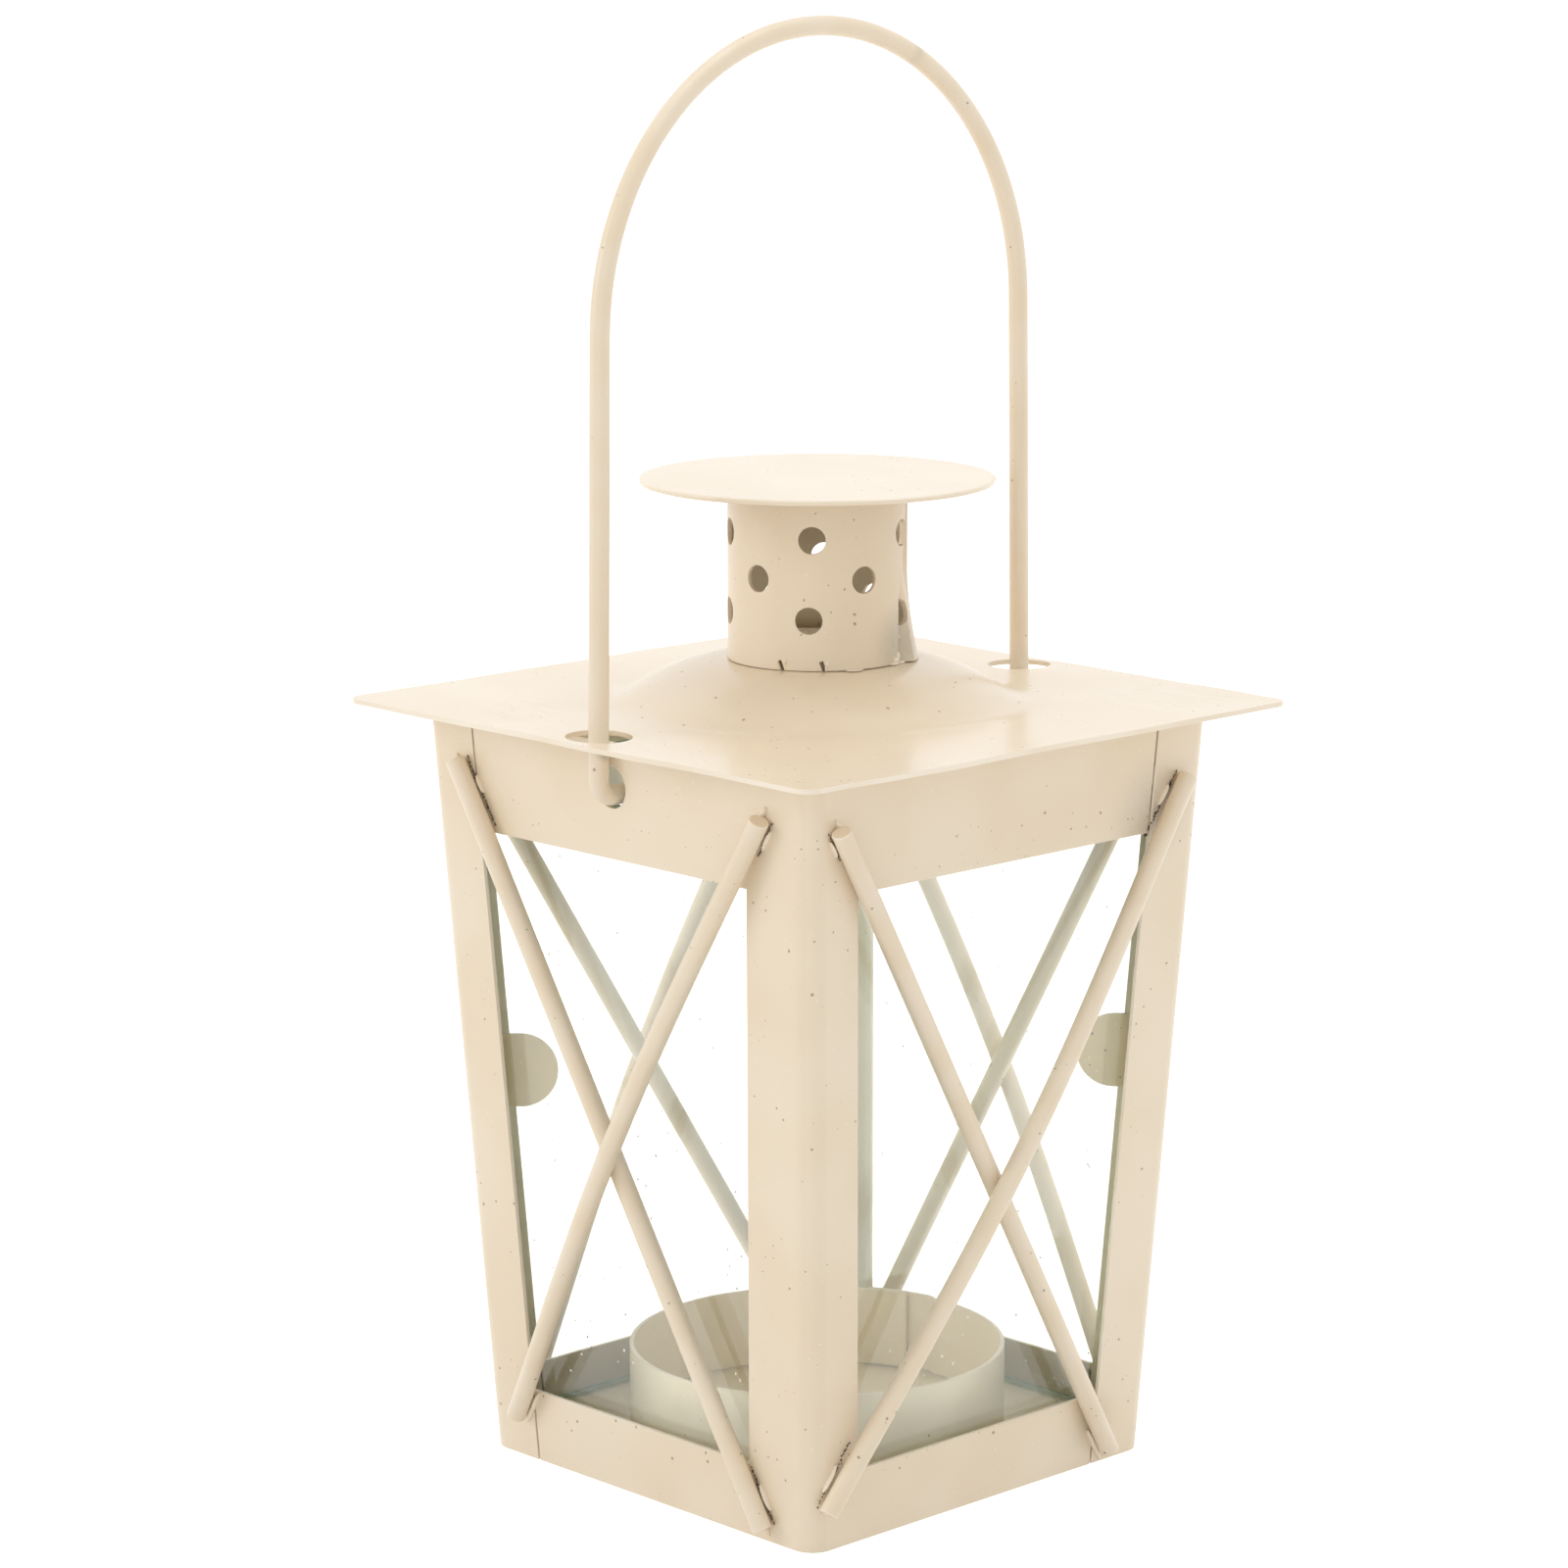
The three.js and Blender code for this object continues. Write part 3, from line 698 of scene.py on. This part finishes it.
# ---------------------------------------------------------------------------
# Brace wires. 2.2 mm steel wire, cut square and spot-welded to the outside of
# the posts. On each side one wire lies flat and the other bows out over it.
# ---------------------------------------------------------------------------
wire_radius = 1.1 * mm
weld_gap = 0.25 * mm
bow_steps = 24
wire_coat = cream_coat("cream coat on wire", base=(0.82, 0.70, 0.54, 1), pits=0.4, nibs=0.3,
                       wave_rate=160.0, wave_share=0.35,
                       grey_patches=[((0, 14.6 * mm, 156.6 * mm), 1.6 * mm, 0.9),
                              ((1.0 * mm, -32.4 * mm, 84.6 * mm), 1.2 * mm, 0.9)])

# (across, up) in millimetres of the upper and lower end: the flat wire and the bowed wire of each side
brace_ends = [
    (((-24.1, 80.7), (20.2, 1.9)), ((24.5, 80.9), (-20.0, 5.2))),
    (((-27.6, 80.2), (19.0, 1.6)), ((25.9, 78.9), (-25.4, 5.0))),
    (((-20.8, 80.0), (19.8, 2.4)), ((28.4, 80.0), (-20.6, 3.6))),
    (((23.1, 80.0), (-23.3, 3.6)), ((-27.0, 80.0), (19.8, 2.4))),
]


def wire_circle(name, at, along, sides=28):
    take(None)
    turn = Vector((0, 0, 1)).rotation_difference(Vector(along).normalized()).to_euler()
    bpy.ops.mesh.primitive_circle_add(vertices=sides, radius=wire_radius, fill_type="NGON", location=at,
                                      rotation=turn)
    piece = newly_made(name)
    edit(piece)
    bpy.ops.mesh.select_mode(type="EDGE")
    bpy.ops.mesh.select_all(action="SELECT")
    return piece


def brace(name, quarter, ends, rise):
    """A wire from end to end, its middle pushed out by rise."""
    (top_x, top_z), (foot_x, foot_z) = ends
    steps = 1 if rise == 0 else bow_steps
    points = []
    for i in range(steps + 1):
        t = i / steps
        out = wire_radius + weld_gap + rise * math.sin(math.pi * t) ** 1.2
        points.append(Vector((top_x + (foot_x - top_x) * t, -out / mm, top_z + (foot_z - top_z) * t)) * mm)
    piece = wire_circle(name, points[0], points[-1] - points[0])
    for here, there in zip(points, points[1:]):
        bpy.ops.mesh.extrude_region_move(TRANSFORM_OT_translate={"value": there - here})
    bpy.ops.object.mode_set(mode="OBJECT")
    edit(piece)
    finish_edit(piece)
    paint_with(piece, wire_coat, edge_coat_and_highlight)
    soften(piece, 0.14 * mm, segments=3, angle=50, slot=1)
    against_side(piece)
    return turned(piece, quarter)


for quarter, (flat_ends, bowed_ends) in enumerate(brace_ends):
    flat_wire = brace(f"flat_brace_{quarter}", quarter, flat_ends, 0)
    hand_over(flat_wire, "body", "painted_wire", f"brace_under_{quarter}")
    bowed_wire = brace(f"bowed_brace_{quarter}", quarter, bowed_ends, 2 * wire_radius + weld_gap)
    hand_over(bowed_wire, "body", "painted_wire", f"brace_over_{quarter}")


# ---------------------------------------------------------------------------
# Spot welds. Where a wire end meets the sheet the paint has drawn into smooth
# fillets, and along the open side ragged dark lumps paint the shade in the gap.
# ---------------------------------------------------------------------------
def lumps(name, places, material, body="body", quarter=None):
    """One piece of small drawn-out lumps; places are (centre, turn about y, (x, y, z) radii)."""
    take(None)
    for i, (centre, swing, radii) in enumerate(places):
        bpy.ops.mesh.primitive_ico_sphere_add(subdivisions=2, radius=1, location=centre,
                                              rotation=(0, swing, 0), scale=radii)
        if i == 0:
            piece = newly_made(name)
            edit(piece)
    bpy.ops.object.mode_set(mode="OBJECT")
    bpy.ops.object.shade_smooth()
    paint_with(piece, material)
    if quarter is not None:
        against_side(piece)
        turned(piece, quarter)
    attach(piece, body)


# (wire, its end, side of the gap, length of the gap): flat or bowed, top or foot, in millimetres
open_gaps = [
    [(0, 0, 1, 8.5), (0, 1, 1, 7.0), (1, 0, 1, 4.5), (1, 1, -1, 3.0)],
    [(0, 0, -1, 3.5), (0, 1, 1, 2.5), (1, 0, -1, 7.5), (1, 1, -1, 8.0)],
    [(0, 0, 1, 5.0), (0, 1, -1, 4.0), (1, 0, 1, 4.0), (1, 1, -1, 5.0)],
    [(0, 0, -1, 4.0), (0, 1, 1, 4.0), (1, 0, 1, 4.0), (1, 1, -1, 5.0)],
]
# (share of the gap's length, distance beside the wire's middle, half width) of the fillets at an end
fillet_places = [(0.0, -0.85, 0.34), (0.35, -0.9, 0.3), (0.9, -0.88, 0.26), (0.55, 0.95, 0.2)]
random.seed(7)
for quarter, gaps in enumerate(open_gaps):
    crumbs = []
    fillets = []
    for wire, end, side, length in gaps:
        start = Vector(brace_ends[quarter][wire][end])
        run = (Vector(brace_ends[quarter][wire][1 - end]) - start).normalized()
        beside = Vector((abs(run.y), -abs(run.y) / run.y * run.x)) * side
        swing = math.atan2(run.x, run.y)
        far = 0.2
        while far < length:
            at = start + run * far + beside * random.uniform(0.66, 0.78)
            depth = -random.uniform(0.06, 0.22)
            crumbs.append((Vector((at.x, depth, at.y)) * mm, swing + random.uniform(-0.4, 0.4),
                           Vector((random.uniform(0.04, 0.09), random.uniform(0.08, 0.16),
                                   random.uniform(0.10, 0.24))) * mm))
            far += random.uniform(0.22, 0.5)
        for share, away, width in fillet_places:
            at = start + run * (0.8 + share * length * 0.6) + beside * away
            fillets.append((Vector((at.x, -0.1, at.y)) * mm, swing,
                            Vector((width, 0.42, random.uniform(1.0, 1.9))) * mm))
    # the dark crumbs along each gap are painted shade
    lumps(f"weld_scale_{quarter}", crumbs, gap_shade_material, quarter=quarter)
    lumps(f"paint_fillets_{quarter}", fillets, edge_coat_and_highlight, quarter=quarter)


# ---------------------------------------------------------------------------
# Lid. A square of the same sheet with rounded corners, stamped with a low
# dome round the flue and pierced for the bail's two legs.
# ---------------------------------------------------------------------------
lid_half = cad_box[1].x - 0.02 * mm
lid_corner = 2.0 * mm
lid_top = 86.3 * mm
lid_thick = 0.55 * mm
lid_hole_radius = 3.6 * mm
lid_hole_y = 32.3 * mm
flue_radius = 8.6 * mm
dome_radius = 22.5 * mm
dome_crown = 10.7 * mm
dome_rise = 4.7 * mm
dome_start = dome_radius + 2 * mm
dome_step = 0.7 * mm
collar_height = 2.0 * mm
lid_cuts = 31
lid_reach = lid_half * 1.14
flat_steps = 9
ripple_height = 0.35 * mm


def dome_height(radius):
    share = min(max((radius - dome_crown) / (dome_radius - dome_crown), 0), 1)
    return dome_rise * (1 - share ** 1.7)


def ring_inward(piece, reach, roundness, lift):
    """Extrudes the selected ring of edges to a smaller, rounder one; reach is its mean radius."""
    bpy.ops.mesh.extrude_edges_move(TRANSFORM_OT_translate={"value": (0, 0, lift)})
    bpy.ops.transform.tosphere(value=roundness)
    ring_verts = [v for v in bmesh.from_edit_mesh(piece.data).verts if v.select]
    scale = reach * len(ring_verts) / sum(v.co.xy.length for v in ring_verts)
    bpy.ops.transform.resize(value=(scale, scale, 1), center_override=(0, 0, 0))


take(None)
bpy.ops.mesh.primitive_plane_add(size=2 * lid_half, location=(0, 0, lid_top))
lid = newly_made("stamped_lid")
edit(lid)
bpy.ops.mesh.select_all(action="SELECT")
bpy.ops.mesh.bevel(offset=lid_corner, segments=6, affect="VERTICES", profile=0.5)
pick(lid, "EDGE", lambda e: e.calc_length() > lid_half)
bpy.ops.mesh.subdivide(number_cuts=lid_cuts)
bpy.ops.mesh.select_all(action="SELECT")
bpy.ops.mesh.delete(type="ONLY_FACE")
bpy.ops.mesh.select_mode(type="EDGE")
bpy.ops.mesh.select_all(action="SELECT")
for step in range(flat_steps):
    share = (step + 1) / flat_steps
    ring_inward(lid, lid_reach + (dome_start - lid_reach) * share, share ** 2, 0)
reach = dome_start
while reach > flue_radius + 0.01 * mm:
    inner = max(reach - dome_step, flue_radius)
    ring_inward(lid, inner, 1, dome_height(inner) - dome_height(reach))
    reach = inner
ring_inward(lid, flue_radius, 1, collar_height)
pick(lid, "VERT", lambda v: dome_radius - 2.6 * mm < v.co.xy.length < dome_radius + 1.9 * mm)
bpy.ops.mesh.vertices_smooth(factor=0.5, repeat=6)
finish_edit(lid)
ripple = bpy.data.textures.new("lid ripple", "CLOUDS")
ripple.noise_scale = 16 * mm
ripple.noise_depth = 1
apply_modifier(lid, "DISPLACE", texture=ripple, direction="Z", strength=ripple_height, mid_level=0.5)
if lid.data.polygons[0].normal.z < 0:
    edit(lid)
    bpy.ops.mesh.select_all(action="SELECT")
    bpy.ops.mesh.flip_normals()
    bpy.ops.object.mode_set(mode="OBJECT")
apply_modifier(lid, "SOLIDIFY", thickness=lid_thick, offset=-1, use_even_offset=True)
for y in (-lid_hole_y, lid_hole_y):
    cut(lid, round_bar(lid_hole_radius, 8 * mm, (0, y, lid_top), (0, 0, 1), sides=56))
lid_coat = cream_coat(
    "cream coat on the lid", nibs=0.4, wave_rate=60.0, gloss=0.5,
    scuffs=[((25.8 * mm, 28.9 * mm, lid_top), 13 * mm), ((-18 * mm, -28 * mm, lid_top), 12 * mm)],
)
rim_shade_coat = cream_coat("painted shade on the sheared rim", base=(0.76, 0.59, 0.45, 1.0),
                      warm=(0.72, 0.54, 0.40, 1.0), nibs=0.5, wave_rate=300.0)
paint_with(lid, lid_coat, edge_coat_and_highlight, rim_shade_coat)
soften(lid, 0.16 * mm, segments=3, slot=1)
# the rim's slanted rounding gets the darker rim coat as painted shade, its upright face the lighter edge coat
# as a painted highlight
for face in lid.data.polygons:
    at_rim = max(abs(face.center.x), abs(face.center.y)) > lid_half - 0.5 * mm
    if at_rim and 0.1 < face.normal.z < 0.85:
        face.material_index = 2
    elif at_rim and face.normal.z < 0.1:
        face.material_index = 1
hand_over(lid, "roof", "painted_sheet", "roof_plate")


# ---------------------------------------------------------------------------
# Chimney. A strip of sheet pierced with three rows of vent holes, rolled into
# a tube and tacked to the dome. The outer end laps over the inner one.
# ---------------------------------------------------------------------------
chimney_low, chimney_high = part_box("chimney_tube")
chimney_radius = chimney_high.x
chimney_foot = lid_top + dome_rise + 0.12 * mm
chimney_rows = 14
vent_radius = 1.5 * mm
# (height in millimetres, degrees to the first hole) of each row
vent_rows = [(105.4, -47.5), (100.9, -85.0), (96.6, -49.5)]
vents_in_row = 5
seam_at = math.radians(19.5)
lap_in = sheet_thick + 0.12 * mm
# degrees round the chimney: the slanted outer end, its edge, and where the sprung inner end lies flat again
slant_from, lap_edge, spring_end = -20, 20, 76
spring_out = 1.3 * mm
slit_size = Vector((4, 0.45, 2.2)) * mm


def radial(angle, height):
    return Vector((chimney_radius * math.cos(angle), chimney_radius * math.sin(angle), height))


take(None)
bpy.ops.mesh.primitive_circle_add(vertices=3, radius=1 * mm, fill_type="NOTHING",
                                  location=radial(seam_at, chimney_foot))
chimney = newly_made("rolled_chimney")
edit(chimney)
bpy.ops.mesh.select_all(action="SELECT")
bpy.ops.mesh.merge(type="CENTER")
bpy.ops.mesh.select_all(action="SELECT")
for _ in range(chimney_rows):
    bpy.ops.mesh.extrude_vertices_move(TRANSFORM_OT_translate={
        "value": (0, 0, (chimney_high.z - chimney_foot) / chimney_rows)})
bpy.ops.mesh.select_all(action="SELECT")
bpy.ops.mesh.spin(steps=110, angle=math.radians(338), center=(0, 0, 0), axis=(0, 0, 1))
bpy.ops.mesh.spin(steps=1, angle=math.radians(3), center=(0, 0, 0), axis=(0, 0, 1))
lap_shrink = (chimney_radius - lap_in) / chimney_radius
bpy.ops.transform.resize(value=(lap_shrink, lap_shrink, 1), center_override=(0, 0, 0))
bpy.ops.mesh.spin(steps=12, angle=math.radians(38), center=(0, 0, 0), axis=(0, 0, 1))
finish_edit(chimney)


def sprung(at):
    """The lapped seam: the outer end is cut at a slant, and the inner end springs out towards the foot."""
    angle = math.degrees(math.atan2(at.y, at.x))
    radius = at.xy.length
    if radius > chimney_radius - lap_in / 2 and slant_from < angle < lap_edge:
        slant = 17 * min(max((at.z - 98 * mm) / (12 * mm), 0), 1)
        angle += slant * (angle - slant_from) / (lap_edge - slant_from)
    elif lap_edge < angle < spring_end:
        rise = min((angle - lap_edge) / 9, 1)
        low = min(max((104 * mm - at.z) / (7 * mm), 0), 1)
        radius += (chimney_radius - min(radius, chimney_radius)) * rise * low
        fall = min((spring_end - angle) / 26, 1)
        near_foot = max((100.5 * mm - at.z) / (9.5 * mm), 0) ** 1.6
        radius += spring_out * rise * fall * fall * (3 - 2 * fall) * near_foot
    angle = math.radians(angle)
    return Vector((radius * math.cos(angle), radius * math.sin(angle), at.z))


for vertex in chimney.data.vertices:
    vertex.co = sprung(vertex.co)
apply_modifier(chimney, "SOLIDIFY", thickness=sheet_thick, offset=-1, use_even_offset=True)

for height, first in vent_rows:
    for i in range(vents_in_row):
        angle = math.radians(first + 360 / vents_in_row * i)
        at = radial(angle, height * mm)
        bar = round_bar(vent_radius, 5 * mm, at, (at.x, at.y, 0), sides=32)
        if abs(angle - seam_at) < math.radians(5):
            edit(bar)
            bpy.ops.mesh.select_all(action="SELECT")
            bpy.ops.mesh.bisect(plane_co=(0, 0, 0), plane_no=(-math.sin(seam_at), math.cos(seam_at), 0),
                                clear_inner=True, use_fill=True)
            bpy.ops.object.mode_set(mode="OBJECT")
        cut(chimney, bar)
for slit_at in (math.radians(-66.5), math.radians(-39.5)):
    at = radial(slit_at, chimney_foot)
    take(None)
    bpy.ops.mesh.primitive_cube_add(size=1, location=at, rotation=(0.35, 0, slit_at),
                                    scale=slit_size)
    cut(chimney, newly_made("foot_slit"))
# Grey patches: one at the foot of the seam, and one round the top that paints the shade under the cap.
chimney_coat = cream_coat("cream coat on the chimney", wave_rate=90.0,
                          grey_patches=[(radial(math.radians(20), chimney_low.z + 2 * mm), 5.5 * mm, 0.6),
                                 ((0, 0, chimney_high.z + 1 * mm), 16 * mm, 0.45)])
paint_with(chimney, chimney_coat, edge_coat_and_highlight)
soften(chimney, 0.15 * mm, slot=1)
hand_over(chimney, "roof", "painted_sheet", "chimney_tube")

# burrs of paint and solder: (degrees, height above the foot, half width, half height) in millimetres
burrs = []
for degrees, up, across, tall in (
    (-64.7, 0.95, 0.2, 0.34), (-37.6, 0.75, 0.2, 0.36), (-38.6, 0.25, 0.16, 0.3), (15.5, 0.35, 0.5, 0.42),
    (18.5, 0.7, 0.35, 0.6), (13.0, 0.05, 0.8, 0.16), (22.0, 0.0, 0.7, 0.2), (-20.0, 0.0, 1.2, 0.1),
):
    burrs.append((radial(math.radians(degrees), chimney_foot + up * mm), 0.0,
                  Vector((across * 0.7, across, tall)) * mm))
lumps("chimney_burrs", burrs, edge_coat_and_highlight, body="roof")


# ---------------------------------------------------------------------------
# Cap. A flat disc stamped from the same sheet, tacked on top of the chimney
# to keep rain and draught off the flame.
# ---------------------------------------------------------------------------
cap_low, cap_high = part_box("cap_disc")
take(None)
bpy.ops.mesh.primitive_cylinder_add(vertices=144, radius=cap_high.x, depth=cap_high.z - cap_low.z,
                                    location=(0, 0, (cap_high.z + cap_low.z) / 2), end_fill_type="NGON")
cap = newly_made("stamped_cap")
edit(cap)
pick(cap, "FACE", lambda f: abs(f.normal.z) > 0.9)
bpy.ops.mesh.inset(thickness=1.5 * mm, depth=0)
bpy.ops.object.mode_set(mode="OBJECT")
paint_with(cap, lid_coat, edge_coat_and_highlight)
soften(cap, 0.2 * mm, segments=3, slot=1)
hand_over(cap, "roof", "painted_sheet", "cap_disc")


# ---------------------------------------------------------------------------
# Bail. One length of the brace wire bent to an arch. Its hooked tips turn in
# the holes of the header bands, and its legs pass through the lid.
# ---------------------------------------------------------------------------
pivot_z = 79.7 * mm
leg_y = 32.4 * mm
tip_y = 27.6 * mm
bend_radius = 2.0 * mm
arch_radius = 31.7 * mm
arch_z = 128.3 * mm
leg_lean = math.atan2(leg_y - arch_radius, arch_z - pivot_z)
bail = wire_circle("bent_bail", (0, tip_y, pivot_z), (0, 1, 0), sides=32)
bend_y = leg_y - bend_radius
bpy.ops.mesh.extrude_region_move(TRANSFORM_OT_translate={"value": (0, bend_y - tip_y, 0)})
bpy.ops.mesh.spin(steps=12, angle=-(math.pi / 2 + leg_lean), center=(0, bend_y, pivot_z + bend_radius),
                  axis=(1, 0, 0))
leg_end = Vector((0, arch_radius * math.cos(leg_lean), arch_z + arch_radius * math.sin(leg_lean)))
leg_start = Vector((0, bend_y + bend_radius * math.cos(leg_lean),
                    pivot_z + bend_radius + bend_radius * math.sin(leg_lean)))
bpy.ops.mesh.extrude_region_move(TRANSFORM_OT_translate={"value": leg_end - leg_start})
bpy.ops.mesh.spin(steps=40, angle=-(math.pi / 2 - leg_lean), center=(0, 0, arch_z), axis=(1, 0, 0))
bpy.ops.mesh.delete(type="FACE")
bpy.ops.object.mode_set(mode="OBJECT")
apply_modifier(bail, "MIRROR", use_axis=(False, True, False), merge_threshold=0.01 * mm)
edit(bail)
finish_edit(bail)
paint_with(bail, wire_coat, edge_coat_and_highlight)
soften(bail, 0.14 * mm, segments=3, angle=50, slot=1)
hand_over(bail, "bail", "painted_wire", "bail_handle")


# ---------------------------------------------------------------------------
# Studio: a white sweep in a white room, with a soft key from the left. Sweep
# and room look brighter than the light they throw on the lantern.
# ---------------------------------------------------------------------------
def glow(tree, target, soft, bright):
    """Strength of a surround: soft as light on the lantern, bright where it is seen."""
    path = node(tree, "ShaderNodeLightPath")
    seen = maths(tree, "SUBTRACT", 1.0, path.outputs["Is Diffuse Ray"])
    tree.links.new(maths(tree, "ADD", maths(tree, "MULTIPLY", seen, bright - soft), soft), target)


take(None)
bpy.ops.mesh.primitive_plane_add(size=24, location=(0, 0, 0))
sweep = newly_made("floor")
white = bpy.data.materials.new("white sweep")
white.use_nodes = True
white_shader = white.node_tree.nodes["Principled BSDF"]
white_shader.inputs["Base Color"].default_value = (0.6, 0.6, 0.6, 1)
white_shader.inputs["Roughness"].default_value = 0.9
white_shader.inputs["Specular IOR Level"].default_value = 0.0
white_shader.inputs["Emission Color"].default_value = (1, 1, 1, 1)
glow(white.node_tree, white_shader.inputs["Emission Strength"], 0.24, 0.85)
paint_with(sweep, white)

world = bpy.data.worlds.new("white room")
bpy.context.scene.world = world
world.use_nodes = True
sky = world.node_tree.nodes["Background"]
sky.inputs["Color"].default_value = (1.0, 1.0, 1.0, 1)
glow(world.node_tree, sky.inputs["Strength"], 0.80, 1.15)


def lamp(name, at, aim, size, power):
    light = bpy.data.lights.new(name, "AREA")
    light.shape = "DISK"
    light.size = size
    light.energy = power
    holder = bpy.data.objects.new(name, light)
    holder.location = at
    holder.rotation_euler = (Vector(aim) - Vector(at)).to_track_quat("-Z", "Y").to_euler()
    bpy.context.scene.collection.objects.link(holder)


lamp("key", (-0.75, -1.25, 0.55), (0, 0, 0.08), 0.9, 4.1)
lamp("top", (0.1, 0.2, 1.5), (0, 0, 0.08), 1.2, 5.5)
lamp("fill", (1.5, 0.2, 0.5), (0, 0, 0.08), 0.9, 0.3)

view_from = math.radians(45.9)
view_rise = math.radians(11.19)
view_distance = 0.5559
aim = Vector((0, 0, 0.0767))
toward = Vector((math.cos(view_rise) * math.sin(view_from), -math.cos(view_rise) * math.cos(view_from),
                 math.sin(view_rise)))
camera_data = bpy.data.cameras.new("camera")
camera_data.lens = 115.0
camera_data.sensor_width = 36.0
camera_data.shift_x = -0.0212
camera_data.clip_start = 0.05
camera_data.clip_end = 60
camera = bpy.data.objects.new("camera", camera_data)
camera.location = aim + toward * view_distance
camera.rotation_euler = (-toward).to_track_quat("-Z", "Y").to_euler()
bpy.context.scene.collection.objects.link(camera)
bpy.context.scene.camera = camera
bpy.context.scene.view_settings.view_transform = "Standard"
